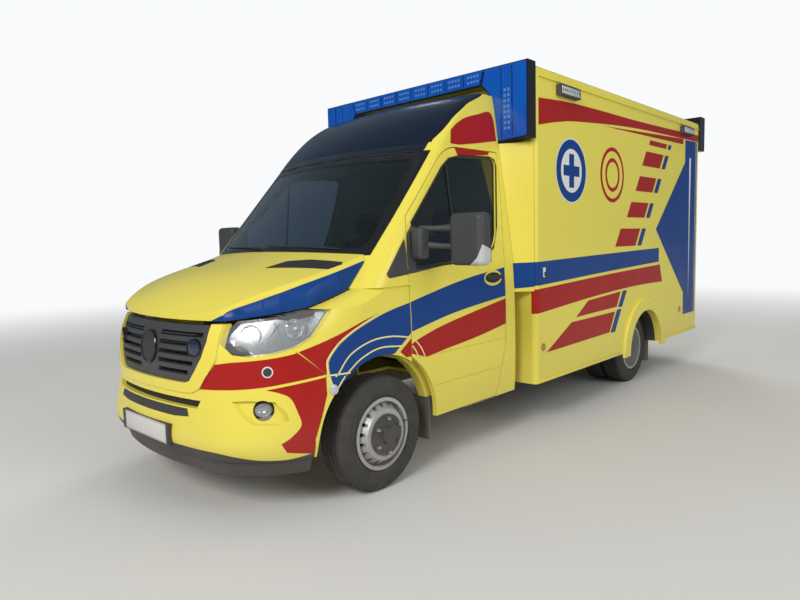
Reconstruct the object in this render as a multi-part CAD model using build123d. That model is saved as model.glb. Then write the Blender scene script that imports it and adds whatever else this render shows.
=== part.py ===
"""A box-bodied ambulance on a light-truck chassis with a twin-wheel rear axle.

Millimetres, +Z up, the front facing -Y and the vehicle's left side on +X. While it is being
built, y = 0 is the front axle; write() moves every piece so that the origin is the centre of
the base of the whole vehicle.
"""

import os
from math import cos, radians, sin, sqrt

from build123d import *

# Driving dimensions
WHEELBASE = 3665
TYRE_R = 352
TYRE_W = 205
TYRE_BEAD_R = 205
FRONT_TYRE_X = 875
REAR_OUTER_X = 877
REAR_INNER_X = 662
KINGPIN_X = 730
KINGPIN_R = 34
STRUT_TOP_X = 650
HUB_R = 125
TOW_EYE_R = 12
TOW_EYE_Z = 650
FRONT_END_Y = -1016
REAR_END_Y = 5440
GAP = 6
RAIL_X = (370, 440)
RAIL_TOP_Z = 690

# Cross members of the frame: place along the vehicle, height
MEMBERS = [(-650, 535), (1100, 540), (1800, 620), (2600, 620), (3050, 620), (4300, 620), (5100, 620)]

# Cab
CAB_REAR_Y = 1432
DOOR_FRONT_Y = 254
BELT_Z = 1330
CAB_ROOF_Z = 2165
CAB_SKIN = 34
BONNET_SKIN = 22
SURROUND_LIFT = 10
FOG_POCKET_DEPTH = 24
FOG_R = 50
PLATE_W = 520
CAB_FLOOR_Z = 620
ARCH_Y = -20
ARCH_R = 484
DOOR_ARC_R = 512
SEAT_X = 440

# Rear and side door hinges: pin radius, barrel radius, barrel length
HINGE_PIN_R = 6
HINGE_PLAY = 0.05
HINGE_R = 11
HINGE_L = 70
REAR_HINGE_Z = (800, 1500, 2250)
SIDE_HINGE_Z = (650, 1450, 2250)

# Patient box
BOX_HALF_W = 1100
BOX_FRONT_Y = 1555
BOX_REAR_Y = 5230
BOX_BASE_Z = 375
BOX_SEAM_Z = 2698
BOX_TOP_Z = 2782
BOX_WALL = 45
BOX_CORNER_R = 45
FRONT_WALL_END_Y = BOX_FRONT_Y + 50
REAR_FRAME_Y = 5125
BOX_FLOOR_Z = 810
BOX_ARCH_R = 400
FLARE_R = 530
REAR_OPENING_HALF_W = 690
REAR_OPENING_Z = (640, 2430)
SIDE_DOOR_Y = (1730, 2500)
SIDE_DOOR_Z = (470, 2430)
REAR_HINGE = (694, 5247)
SIDE_HINGE = (-1117, 1733)

MID_Y = (FRONT_END_Y + REAR_END_Y) / 2


def write(name, *shapes):
    """Saves a node, moved to the frame whose origin is the centre of the vehicle's base."""
    solids = [solid for shape in shapes for solid in shape.solids()]
    export_step(Compound(children=solids).moved(Location((0, -MID_Y, 0))), f"parts/{name}.step")


def block(x0, x1, y0, y1, z0, z1):
    centre = Pos((x0 + x1) / 2, (y0 + y1) / 2, (z0 + z1) / 2)
    return centre * Box(abs(x1 - x0), abs(y1 - y0), abs(z1 - z0))


def mirrored(shape):
    return mirror(shape, about=Plane.YZ)


def largest(shape):
    return shape.solids().sort_by(lambda solid: solid.volume)[-1]


def rod(x, y, z, r, length, axis="X"):
    """A cylinder centred on a point, along one axis."""
    turn = {"X": Rot(0, 90, 0), "Y": Rot(90, 0, 0), "Z": Rot(0, 0, 0)}[axis]
    return Pos(x, y, z) * turn * Cylinder(r, length)


def strut(a, b, r):
    """A straight round bar from one point to another."""
    way = Vector(*b) - Vector(*a)
    return extrude(Plane(origin=a, z_dir=way) * Circle(r), way.length)


def outline(*points):
    return Polyline(*points, close=True)


def side_prism(edges, x0, x1):
    """An outline in side view, its points given as (y, z), made solid between two x values."""
    return extrude(Plane.YZ.offset(x0) * make_face(edges), x1 - x0)


def front_prism(edges, y0, y1):
    """An outline in front view, its points given as (x, z), made solid between two y values."""
    return extrude(Plane.XZ.offset(-y1) * make_face(edges), y1 - y0)


def plan_prism(edges, z0, z1):
    return extrude(Pos(0, 0, z0) * make_face(edges), z1 - z0)


def upright_slab(x, z, width, height, y0, y1, r):
    """A plate that faces the front or the rear, with rounded corners."""
    return extrude(Plane.XZ.offset(-y1) * (Pos(x, z) * RectangleRounded(width, height, r)), y1 - y0)


def turned(profile, x, y, z):
    """A profile of (radius, x) points turned about a line along X through a point."""
    ring = revolve(Plane.XY * make_face(Polyline(*profile, close=True)), Axis.Y)
    return Pos(x, y, z) * Rot(0, 0, -90) * ring


def plan_face(row, inset=0, rear_y=CAB_REAR_Y):
    """A level section of the cab: a flat arc across the front, round corners, straight sides.

    row holds z, front y, half width, front arc radius and corner radius.
    """
    z, front_y, half_w, front_r, corner_r = row
    front_y, half_w = front_y + inset, half_w - inset
    front_r, corner_r = front_r - inset, corner_r - inset
    corner_x = half_w - corner_r
    front_centre = front_y + front_r
    corner_y = front_centre - sqrt((front_r - corner_r) ** 2 - corner_x**2)
    reach = front_r / (front_r - corner_r)
    join = (corner_x * reach, front_centre + (corner_y - front_centre) * reach)
    toward = Vector(join[0] - corner_x, join[1] - corner_y).normalized() + Vector(1, 0)
    bulge = Vector(corner_x, corner_y) + toward.normalized() * corner_r
    return Pos(0, 0, z) * make_face(
        [
            Line((-half_w, rear_y), (-half_w, corner_y)),
            ThreePointArc((-half_w, corner_y), (-bulge.X, bulge.Y), (-join[0], join[1])),
            ThreePointArc((-join[0], join[1]), (0, front_y), join),
            ThreePointArc(join, (bulge.X, bulge.Y), (half_w, corner_y)),
            Line((half_w, corner_y), (half_w, rear_y)),
            Line((half_w, rear_y), (-half_w, rear_y)),
        ]
    )


def plan_loft(rows, inset=0, rear_y=CAB_REAR_Y, ruled=False):
    return loft([plan_face(row, inset, rear_y) for row in rows], ruled=ruled)


def glass_row(z):
    """The straight-sided upper cab at any height."""
    rise = (z - BELT_Z) / 900
    return (z, -232 + 826 * rise, 973 - 122 * rise, 2030 + 250 * rise, 154 - 38 * rise)


# Level sections of the cab's nose: z, front y, half width, front arc radius, corner radius
NOSE_ROWS = [
    (345, -968, 977, 2400, 600),
    (520, -1006, 988, 2400, 620),
    (780, -972, 990, 2400, 700),
    (1000, -950, 988, 2400, 740),
    (1100, -905, 985, 2300, 740),
    (1330, -820, 973, 2200, 700),
]
FAIRING_ROWS = [
    glass_row(CAB_ROOF_Z),
    (2270, 640, 850, 2300, 100),
    (2465, 920, 825, 3000, 90),
    (2575, 1180, 806, 4000, 90),
]

# The line that the wing tops and the bonnet's side edges follow: place along the vehicle, height
SLOPE_ROWS = [(-1300, 1086), (-900, 1090), (-450, 1148), (0, 1276), (1500, 1681)]
SHOULDER_R = 122
SHOULDER_X = 870

# The bonnet: place along the vehicle, crown height, shoulder x and z, edge x and z
BONNET_ROWS = [
    (-925, 1090, 440, 1085, 560, 1078),
    (-790, 1212, 597, 1177, 664, 1094),
    (-440, 1366, 772, 1304, 862, 1150),
    (60, 1526, 820, 1444, 862, 1290),
]


def below_slope(lift):
    """Everything under the slope of the wing tops, rounded down to the sides."""
    side_x = SHOULDER_X + SHOULDER_R
    mid_x = SHOULDER_X + SHOULDER_R * sin(radians(45))
    mid_drop = SHOULDER_R * (1 - cos(radians(45)))
    faces = []
    for y, height in SLOPE_ROWS:
        z = height + lift
        arch = [
            Line((-side_x, 0), (-side_x, z - SHOULDER_R)),
            ThreePointArc((-side_x, z - SHOULDER_R), (-mid_x, z - mid_drop), (-SHOULDER_X, z)),
            Line((-SHOULDER_X, z), (SHOULDER_X, z)),
            ThreePointArc((SHOULDER_X, z), (mid_x, z - mid_drop), (side_x, z - SHOULDER_R)),
            Line((side_x, z - SHOULDER_R), (side_x, 0)),
            Line((side_x, 0), (-side_x, 0)),
        ]
        faces.append(Plane.XZ.offset(-y) * make_face(arch))
    return loft(faces)


def bonnet_bulk(drop):
    """Everything under the bonnet's crowned top, whose flanks roll down to the wings."""
    faces = []
    for y, crown, shoulder_x, shoulder_z, edge_x, edge_z in BONNET_ROWS:
        top, bend_z, low = shoulder_z - drop, 0.7 * shoulder_z + 0.3 * edge_z - drop, edge_z - drop
        bend_x = 0.36 * shoulder_x + 0.64 * edge_x
        loaf = [
            Line((-edge_x, 700), (-edge_x, low)),
            ThreePointArc((-edge_x, low), (-bend_x, bend_z), (-shoulder_x, top)),
            ThreePointArc((-shoulder_x, top), (0, crown - drop), (shoulder_x, top)),
            ThreePointArc((shoulder_x, top), (bend_x, bend_z), (edge_x, low)),
            Line((edge_x, low), (edge_x, 700)),
            Line((edge_x, 700), (-edge_x, 700)),
        ]
        faces.append(Plane.XZ.offset(-y) * make_face(loaf))
    return loft(faces)


# The cab's skin, before it is parted
nose = plan_loft(NOSE_ROWS) & below_slope(0)
nose_room = plan_loft(NOSE_ROWS, CAB_SKIN, CAB_REAR_Y - CAB_SKIN)
nose_hollow = below_slope(-CAB_SKIN) + block(-1100, 1100, 205, 1500, 0, BELT_Z + 1)
nose_skin = nose - (nose_room & nose_hollow)
upper = plan_loft([glass_row(BELT_Z), glass_row(CAB_ROOF_Z)], ruled=True)
upper_rows = [glass_row(BELT_Z - 1), glass_row(CAB_ROOF_Z - CAB_SKIN)]
upper_room = plan_loft(upper_rows, CAB_SKIN, CAB_REAR_Y - CAB_SKIN, ruled=True)
cowl_tray = upper & block(-950, 950, -400, 236, BELT_Z, BELT_Z + 14)
upper_skin = upper - upper_room

# Outlines in side view, as (y, z)
window_front = 345
door_outline = [
    Line((1175, 352), (1300, 720)),
    Line((1300, 720), (1312, 1300)),
    Line((1312, 1300), (1380, 1900)),
    Line((1380, 1900), (1386, 2146)),
    Line((1386, 2146), (890, 2140)),
    ThreePointArc((890, 2140), (770, 2108), (680, 2046)),
    Line((680, 2046), (310, 1658)),
    ThreePointArc((310, 1658), (268, 1500), (DOOR_FRONT_Y, 1310)),
    Line((DOOR_FRONT_Y, 1310), (DOOR_FRONT_Y, 784)),
    ThreePointArc((DOOR_FRONT_Y, 784), (432, 592), (492, 352)),
    Line((492, 352), (1175, 352)),
]
window_outline = [
    Line((window_front, 1345), (window_front, 1615)),
    Line((window_front, 1615), (716, 1986)),
    ThreePointArc((716, 1986), (802, 2047), (937, 2077)),
    Line((937, 2077), (1290, 2095)),
    ThreePointArc((1290, 2095), (1337, 2082), (1350, 2040)),
    Line((1350, 2040), (1262, 1600)),
    ThreePointArc((1262, 1600), (1190, 1450), (1060, 1375)),
    Line((1060, 1375), (window_front, 1345)),
]
lamp_outline = outline(
    (-860, 1135), (-845, 986), (-817, 928), (-768, 917), (-659, 929), (-561, 955), (-473, 1003), (-360, 1137),
    (-470, 1147), (-560, 1140),
)
windscreen_outline = outline((-600, 1425), (45, 1425), (660, 2107), (-600, 2107))
bonnet_plan = [
    Line((-850, 60), (-850, -440)),
    Line((-850, -440), (-606, -822)),
    ThreePointArc((-606, -822), (0, -904), (606, -822)),
    Line((606, -822), (850, -440)),
    Line((850, -440), (850, 60)),
    Line((850, 60), (-850, 60)),
]
# Outlines on the nose in front view, one half each, as (x, z) from the top inwards
grille_edge = [(526, 1074), (532, 990), (512, 908), (468, 833), (425, 775), (380, 760)]
surround_edge = [(596, 1084), (596, 900), (536, 793), (490, 735), (440, 712), (365, 706)]
slot_edge = [(500, 672), (478, 628)]
fog_pocket = outline(
    (675, 678), (748, 683), (850, 672), (893, 610), (905, 570), (871, 552), (784, 560), (731, 608)
)
arch_hole = rod(0, ARCH_Y, TYRE_R, ARCH_R, 2200)


bumper_seam = [(-575, 930), (-430, 790), (-432, 680), (-460, 600), (-520, 450), (-520, 300)]


def grown(edges, amount):
    return offset(make_face(edges), amount, kind=Kind.INTERSECTION)


def bonnet_zone(z0):
    return extrude(Pos(0, 0, z0) * grown(bonnet_plan, GAP + 1), 500)


def lamp_zone(side):
    x0, x1 = (598, 1100) if side > 0 else (-1100, -598)
    return extrude(Plane.YZ.offset(x0) * grown(lamp_outline, GAP - 2), x1 - x0)


def rail_outline(inset):
    return outline(
        (-700, 470 + inset), (1440, 470 + inset), (1690, 550 + inset), (5150, 550 + inset),
        (5150, RAIL_TOP_Z - inset), (1690, RAIL_TOP_Z - inset), (1440, 600 - inset), (-700, 600 - inset),
    )


def chassis():
    """Two pressed channels that step up behind the cab, and the members between them."""
    wall = 8
    channel = side_prism(rail_outline(0), *RAIL_X)
    channel -= side_prism(rail_outline(wall), RAIL_X[0] - 1, RAIL_X[1] - wall)
    write("chassis_frame", channel, mirrored(channel))
    reach, half_y, half_z = RAIL_X[1] - wall, 45, 50
    members = []
    for y, z in MEMBERS:
        member = block(-reach, reach, y - half_y, y + half_y, z - half_z, z + half_z)
        hollow = block(
            -reach - 1, reach + 1, y - half_y - 1, y + half_y - wall, z - half_z + wall, z + half_z - wall
        )
        members.append(member - hollow)
    boss_y = MEMBERS[0][0] - 6
    boss = rod(-300, boss_y, TOW_EYE_Z, 24, 88, "Y")
    boss += block(-316, -284, boss_y - 38, boss_y + 42, 580, TOW_EYE_Z)
    members[0] = members[0] + boss - rod(-300, boss_y - 24, TOW_EYE_Z, TOW_EYE_R, 40, "Y")
    write("cross_members", *members)


def power_train():
    engine = block(-300, 300, -430, 195, 430, 1000)
    mounts = block(-RAIL_X[0], RAIL_X[0], -60, 60, 500, 560)
    write("engine_block", engine + mounts)
    nose_up = (Align.CENTER, Align.CENTER, Align.MIN)
    gearbox = Pos(0, 195, 440) * Rot(-90, 0, 0) * Cone(140, 80, 620, align=nose_up)
    write("gearbox", gearbox)
    tank = fillet(block(RAIL_X[1], 900, 1700, 2550, 420, 640).edges().filter_by(Axis.Y), 50)
    write("fuel_tank", tank)
    silencer = rod(-260, 2050, 450, 95, 700, "Y")
    pipes = strut((-260, 195, 450), (-260, 1710, 450), 30) + strut((-260, 2390, 450), (-260, 2760, 450), 30)
    pipes += Pos(-260, 2750, 450) * Sphere(30) + strut((-260, 2750, 450), (-900, 2980, 420), 30)
    hangers = block(-272, -248, 1790, 1810, 450, 570) + block(-272, -248, 2590, 2610, 470, 570)
    write("exhaust", silencer + pipes + hangers)


def front_axle():
    """Cross-member, lower arms and struts, whose eyes hold the kingpins, and the knuckles."""
    eye_r, bore_r = 54, KINGPIN_R + 0.05
    beam = block(-400, 400, -70, 70, 330, 420)
    for side in (1, -1):
        beam += block(side * 372, side * 438, -70, 70, 400, 470)
        arm = plan_prism(outline((330, -70), (KINGPIN_X, -40), (KINGPIN_X, 40), (330, 70)), 224, 262)
        arm += rod(KINGPIN_X, 0, 243, eye_r, 38, "Z") + block(330, 400, -60, 60, 224, 340)
        strut_foot = rod(KINGPIN_X, 0, 462, eye_r - 4, 32, "Z")
        damper = strut((KINGPIN_X - 12, 0, 462), (STRUT_TOP_X, 0, 905), 24)
        spring = strut((KINGPIN_X - 45, 0, 620), (STRUT_TOP_X, 0, 880), 52)
        carrier = arm + strut_foot + damper + spring + block(RAIL_X[1], STRUT_TOP_X + 40, -50, 50, 880, 905)
        carrier += block(RAIL_X[0], RAIL_X[1], -50, 50, 600, 905)
        carrier -= rod(KINGPIN_X, 0, 350, bore_r, 280, "Z")
        beam += carrier if side > 0 else mirrored(carrier)
    write("front_suspension", beam)
    for name, side in (("left", 1), ("right", -1)):
        pin = rod(KINGPIN_X, 0, 350, KINGPIN_R, 256, "Z")
        knuckle = pin + rod(KINGPIN_X + 60, 0, TYRE_R, 75, 120) + rod(KINGPIN_X + 110, 0, TYRE_R, 38, 220)
        knuckle += block(KINGPIN_X - 16, KINGPIN_X + 16, 0, 190, 300, 330)
        write(f"knuckle_{name}", knuckle if side > 0 else mirrored(knuckle))


def rear_axle():
    axle = rod(0, WHEELBASE, TYRE_R, 58, 1480) + Pos(0, WHEELBASE, TYRE_R) * Sphere(165)
    axle += rod(0, WHEELBASE - 150, 432, 60, 160, "Y") + rod(0, WHEELBASE - 100, 400, 90, 120, "Y")
    shaft_front = 815
    shaft_rear = WHEELBASE - 220
    axle += rod(0, (shaft_front + shaft_rear) / 2, 432, 38, shaft_rear - shaft_front, "Y")
    write("rear_axle", axle)
    leaf = side_prism(
        [
            ThreePointArc((WHEELBASE - 700, 510), (WHEELBASE, 422), (WHEELBASE + 700, 510)),
            Line((WHEELBASE + 700, 510), (WHEELBASE + 700, 546)),
            ThreePointArc((WHEELBASE + 700, 546), (WHEELBASE, 458), (WHEELBASE - 700, 546)),
            Line((WHEELBASE - 700, 546), (WHEELBASE - 700, 510)),
        ],
        372, 438,
    )
    leaf += block(372, 438, WHEELBASE - 710, WHEELBASE - 680, 500, 550)
    leaf += block(372, 438, WHEELBASE + 680, WHEELBASE + 710, 500, 550)
    leaf += block(372, 438, WHEELBASE - 60, WHEELBASE + 60, TYRE_R + 50, 450)
    leaf -= rod(0, WHEELBASE, TYRE_R, 58, 1160)
    write("leaf_springs", leaf, mirrored(leaf))


def tyre(x):
    """A radial tyre with square shoulders, open inside towards the rim."""
    half = TYRE_W / 2
    profile = [
        (TYRE_BEAD_R, -half + 18), (222, -half + 18), (236, -half + 4), (275, -half), (322, -half + 10),
        (345, -half + 26), (TYRE_R, -half + 52), (TYRE_R, half - 52), (345, half - 26),
        (322, half - 10), (275, half), (236, half - 4), (222, half - 18), (TYRE_BEAD_R, half - 18),
        (TYRE_BEAD_R, half - 40), (300, half - 22), (318, 0), (300, -half + 22),
        (TYRE_BEAD_R, -half + 40),
    ]
    return turned(profile, x, 0, TYRE_R)


def wheels():
    flange_r, barrel_r, wall = 220, TYRE_BEAD_R, 7
    half = TYRE_W / 2 - 18
    # The front disc bulges outwards, past the rim's edge
    front = [
        (barrel_r, -half), (flange_r, -half), (flange_r, -half - 8), (barrel_r - wall, -half - 8),
        (barrel_r - wall, 20), (148, 100), (62, 104), (62, 116), (154, 116),
        (barrel_r - wall, 50), (barrel_r - wall, half + 8), (flange_r, half + 8),
        (flange_r, half), (barrel_r, half),
    ]
    rim = turned(front, FRONT_TYRE_X, 0, TYRE_R)
    for hole in range(18):
        angle = hole * 20
        place = Pos(FRONT_TYRE_X, 0, TYRE_R) * Rot(angle, 0, 0) * Pos(80, 0, 172)
        rim -= place * Rot(0, 90, 0) * Cylinder(12, 120)
    hub = turned(
        [
            (42, 8), (61, 8), (61, 116), (HUB_R, 116), (HUB_R, 126), (52, 132), (48, 152), (0, 152), (0, 130),
            (42, 130),
        ],
        FRONT_TYRE_X, 0, TYRE_R,
    )
    front_tyre = tyre(FRONT_TYRE_X)
    mid = (REAR_OUTER_X + REAR_INNER_X) / 2
    reach = REAR_OUTER_X - mid
    out_edge = reach + half + 8
    in_edge = reach - half
    rear = [
        (flange_r, -out_edge), (flange_r, -out_edge + 8), (barrel_r, -out_edge + 8),
        (barrel_r, -in_edge), (flange_r, -in_edge), (flange_r, 8 - in_edge), (180, 8 - in_edge),
        (180, in_edge - 8), (flange_r, in_edge - 8), (flange_r, in_edge), (barrel_r, in_edge),
        (barrel_r, out_edge - 8), (flange_r, out_edge - 8), (flange_r, out_edge),
        (barrel_r - wall, out_edge), (barrel_r - wall, 60), (150, 12), (0, 12), (0, -12),
        (150, -12), (barrel_r - wall, -60), (barrel_r - wall, -out_edge),
    ]
    twin = turned(rear, mid, WHEELBASE, TYRE_R)
    twin += turned([(0, 11), (HUB_R, 11), (HUB_R, 24), (84, 30), (78, 118), (0, 118)], mid, WHEELBASE, TYRE_R)
    rear_tyres = [Pos(0, WHEELBASE, 0) * tyre(REAR_OUTER_X), Pos(0, WHEELBASE, 0) * tyre(REAR_INNER_X)]
    for name, side in (("left", 1), ("right", -1)):
        pieces = {
            f"front_rim_{name}": [rim],
            f"front_hub_{name}": [hub],
            f"front_tyre_{name}": [front_tyre],
            f"rear_rims_{name}": [twin],
            f"rear_tyres_{name}": rear_tyres,
        }
        for node, shapes in pieces.items():
            write(node, *(shapes if side > 0 else [mirrored(shape) for shape in shapes]))


def cab():
    shell = (nose_skin + upper_skin + cowl_tray) - block(-1100, 1100, -1300, 800, 0, BELT_Z)
    shell -= extrude(Plane.YZ.offset(-1100) * grown(door_outline, GAP), 2200)
    shell -= side_prism(windscreen_outline, -1100, 1100)
    shell -= block(-860, 860, 1300, 1500, 0, 600)
    for side in (1, -1):
        x0, x1 = side * 860, side * 925
        post = block(x0, x1, 190, 236, 700, 1240) + block(x0, x1, 470, CAB_REAR_Y - 10, 480, 560)
        band = rod(side * 892.5, ARCH_Y, TYRE_R, 570, 65) & block(x0, x1, 190, 600, 480, 1000)
        shell += (post + band) - arch_hole
    firewall = block(-850, 850, 202, 236, 600, BELT_Z + 8) + block(-861, 861, 202, 236, 900, 1200)
    shell += firewall - (arch_hole - block(-510, 510, -1000, 1000, 0, 1000))
    floor = block(-861, 861, 540, CAB_REAR_Y - CAB_SKIN + 1, 600, CAB_FLOOR_Z)
    shell += floor + block(-500, 500, 235, 541, 600, CAB_FLOOR_Z)
    write("cab_shell", shell)
    pane = plan_loft([glass_row(1400), glass_row(2140)], 3, ruled=True)
    pane -= plan_loft([glass_row(1399), glass_row(2141)], 9, CAB_REAR_Y + 5, ruled=True)
    write("windscreen", pane & side_prism(windscreen_outline, -1100, 1100))
    groove = nose - plan_loft(NOSE_ROWS, 4)
    for name, side in (("left", 1), ("right", -1)):
        x0, x1 = (800, 1100) if side > 0 else (-1100, -800)
        door = (nose_skin + upper_skin) & side_prism(door_outline, x0, x1)
        door -= side_prism(window_outline, x0, x1)
        for z, front_y in ((770, 300), (563, 480)):
            door -= groove & block(x0, x1, front_y, 1420, z - 3, z + 3)
        write(f"cab_door_{name}", door)
        glass = plan_loft([glass_row(1300), glass_row(2140)], 12, ruled=True)
        glass -= plan_loft([glass_row(1299), glass_row(2141)], 17, CAB_REAR_Y + 5, ruled=True)
        write(f"door_glass_{name}", glass & side_prism(window_outline, x0, x1))
        head = fillet(block(1190, 1435, 380, 500, 1350, 1665).edges(), 38)
        arms = strut((945, 345, 1500), (1200, 430, 1460), 14) + strut((945, 345, 1570), (1200, 430, 1590), 14)
        base = side_prism(outline((285, 1400), (285, 1560), (342, 1600), (342, 1400)), 925, 962)
        body = head + arms + base
        body = (body if side > 0 else mirrored(body)) - door
        write(f"mirror_{name}", largest(body))


def cab_inside():
    cabin = plan_loft([glass_row(1000), glass_row(CAB_ROOF_Z)], CAB_SKIN + 16, CAB_REAR_Y - 60, ruled=True)
    dash = side_prism(
        outline(
            (-170, 1344), (-60, 1400), (330, 1420), (420, 1380), (440, 1200), (400, 1060), (236, 1020), (236, 1344)
        ),
        -840, 840,
    )
    seats = []
    for x in (SEAT_X, -SEAT_X):
        seat = side_prism(
            outline((640, 900), (640, 1010), (1080, 990), (1230, 1560), (1330, 1560), (1210, 900)),
            x - 250, x + 250,
        )
        seat = fillet(seat.edges().filter_by(Axis.X), 24)
        seat += block(x - 110, x + 110, 1242, 1326, 1540, 1760)
        seat += block(x - 200, x + 200, 700, 1160, CAB_FLOOR_Z, 905)
        seats.append(seat)
    write("cab_seats", *seats)
    tilt = Pos(SEAT_X, 560, 1330) * Rot(-58, 0, 0)
    write("dashboard", (dash & cabin) + tilt * Pos(0, 0, -110) * Cylinder(30, 160))
    wheel = tilt * Torus(195, 14)
    wheel += tilt * Cylinder(50, 40)
    for angle in (0, 120, 240):
        wheel += tilt * Rot(0, 0, angle + 90) * Pos(110, 0, 0) * Box(170, 30, 12)
    write("steering_wheel", wheel)


def both_halves(edge):
    """A closed front view outline from its half on the left of the vehicle."""
    return outline(*edge, *[(-x, z) for x, z in reversed(edge)])


def bumper_and_grille():
    """The bumper with its raised grille surround, slot, fog pockets and plate holder."""
    low_outline = outline((-1300, 300), (-1300, 925), *bumper_seam)
    bumper = nose_skin & side_prism(low_outline, -1100, 1100)
    bumper += nose_skin & block(-680, 680, -1300, -770, 900, 1084)
    surround = plan_loft(NOSE_ROWS, -SURROUND_LIFT) - plan_loft(NOSE_ROWS, CAB_SKIN / 2)
    bumper += surround & front_prism(both_halves(surround_edge), -1300, -700)
    bumper -= front_prism(both_halves([(526, 1100)] + grille_edge[1:]), -1300, -700)
    bumper -= front_prism(both_halves(slot_edge), -1300, -700)
    bumper -= arch_hole
    pocket = front_prism(fog_pocket, -1300, -500)
    pocket_floor = plan_loft(NOSE_ROWS, FOG_POCKET_DEPTH)
    fogs = []
    for side in (1, -1):
        axis = Pos(side * 806, -737, 627) * Rot(0, 0, side * 38) * Rot(90, 0, 0)
        bumper -= lamp_zone(side)
        bumper -= (pocket if side > 0 else mirrored(pocket)) - pocket_floor
        bumper -= axis * Cylinder(FOG_R + GAP, 300)
        fogs.append(axis * Pos(0, 0, -16) * Cylinder(FOG_R, 30))
    write("front_bumper", bumper)

    back = plan_loft(NOSE_ROWS, 55)
    grille = (plan_loft(NOSE_ROWS, 8) - back) & front_prism(both_halves(grille_edge), -1300, -700)
    for row, half in enumerate((392, 432, 462, 478, 482)):
        z = 802 + 52 * row
        slot = front_prism(outline((-half, z), (-half, z + 26), (half, z + 26), (half, z)), -1300, -700)
        grille -= slot - block(-110, 110, -1300, -700, 700, 1100)
    write("grille", grille)
    return fogs


def cab_front():
    """Lamps, lower lip and wings around the nose."""
    lamps = bumper_and_grille()
    deep = plan_loft(NOSE_ROWS, 90)
    for side in (1, -1):
        x0, x1 = (602, 1100) if side > 0 else (-1100, -602)
        lens = nose & side_prism(lamp_outline, x0, x1)
        lamps.append(lens - bonnet_zone(900) - deep)
    write("front_lamps", *lamps)

    lip_rows = [(262, -930, 940, 2400, 560), (345, -956, 969, 2400, 590)]
    lip = plan_loft(lip_rows, ruled=True) - plan_loft(lip_rows, 20, CAB_REAR_Y + 5, ruled=True)
    lip &= block(-1000, 1000, -1300, -520, 0, 345)
    holder = block(-PLATE_W / 2 - 30, PLATE_W / 2 + 30, FRONT_END_Y, -930, 403, 522)
    holder -= block(-PLATE_W / 2 - 2, PLATE_W / 2 + 2, FRONT_END_Y - 1, FRONT_END_Y + 5, 404.5, 520.5)
    write("bumper_lip", lip, holder - plan_loft(NOSE_ROWS))

    wings = []
    front = [(y + 4, z) for y, z in bumper_seam]
    behind = outline(*front, (600, 340), (600, 1400), (-1000, 1400), (-1000, front[0][1]))
    pillar_rows = [glass_row(1225), glass_row(BELT_Z)]
    pillar = plan_loft(pillar_rows, ruled=True) - plan_loft(pillar_rows, 30, CAB_REAR_Y + 5, ruled=True)
    for side in (1, -1):
        x0, x1 = (602, 1100) if side > 0 else (-1100, -602)
        region = side_prism(behind, x0, x1) - block(x0, x1, DOOR_FRONT_Y - GAP, 700, 700, 1400)
        band = rod(0, ARCH_Y, TYRE_R, DOOR_ARC_R - GAP, 2200)
        region -= block(x0, x1, 200, 700, 300, 800) - band
        region -= block(x0, x1, -1000, 700, 300, 340)
        wing = (nose_skin & region) - arch_hole - bonnet_zone(1000) - lamp_zone(side)
        wing -= block(side * 500, side * 857, 0, 260, 1150, BELT_Z + 10)
        wing += pillar & block(side * 780, side * 1000, -250, DOOR_FRONT_Y - GAP, 1235, BELT_Z)
        wings.append(largest(wing))
    write("front_wings", *wings)
    write("bonnet", bonnet())


def bonnet():
    """A crowned lid with a turned-down edge, which ends in front of the windscreen's foot."""
    lid = bonnet_bulk(0) & plan_prism(bonnet_plan, 900, 1600)
    lid -= bonnet_bulk(BONNET_SKIN) & extrude(Pos(0, 0, 900) * grown(bonnet_plan, -BONNET_SKIN), 700)
    lid -= below_slope(GAP + 1)
    return lid - plan_loft([glass_row(1100), glass_row(1700)], -8, CAB_REAR_Y + 8, ruled=True)


def liners_and_flaps():
    rear = rod(800, WHEELBASE, TYRE_R, BOX_ARCH_R, 510) - rod(800, WHEELBASE, TYRE_R, BOX_ARCH_R - 8, 511)
    rear &= block(0, 1100, WHEELBASE - 500, WHEELBASE + 500, BOX_BASE_Z, 748)
    write("wheel_liners", rear, mirrored(rear))
    flap_front = block(780, 940, 462, 470, 190, 480)
    flap_rear = block(560, 980, WHEELBASE + 402, WHEELBASE + 410, 150, 520)
    write("mud_flaps", flap_front, mirrored(flap_front), flap_rear, mirrored(flap_rear))


def roof_fairing():
    rear_y = CAB_REAR_Y - 4
    outer = plan_loft(FAIRING_ROWS, 0, rear_y)
    inner = plan_loft([(row[0] - 1,) + row[1:] for row in FAIRING_ROWS], 22, rear_y - 22)
    inner -= block(-1000, 1000, -1000, 2000, 2550, 2700)
    write("roof_fairing", outer - inner)
    panel = loft(
        [
            Pos(0, 0, 1100) * make_face(outline((965, 1438), (972, 1434), (1088, 1549), (1080, 1555))),
            Pos(0, 0, 2220) * make_face(outline((830, 1438), (837, 1434), (1088, 1549), (1080, 1555))),
        ],
        ruled=True,
    )
    write("gap_panels", panel, mirrored(panel))


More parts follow.
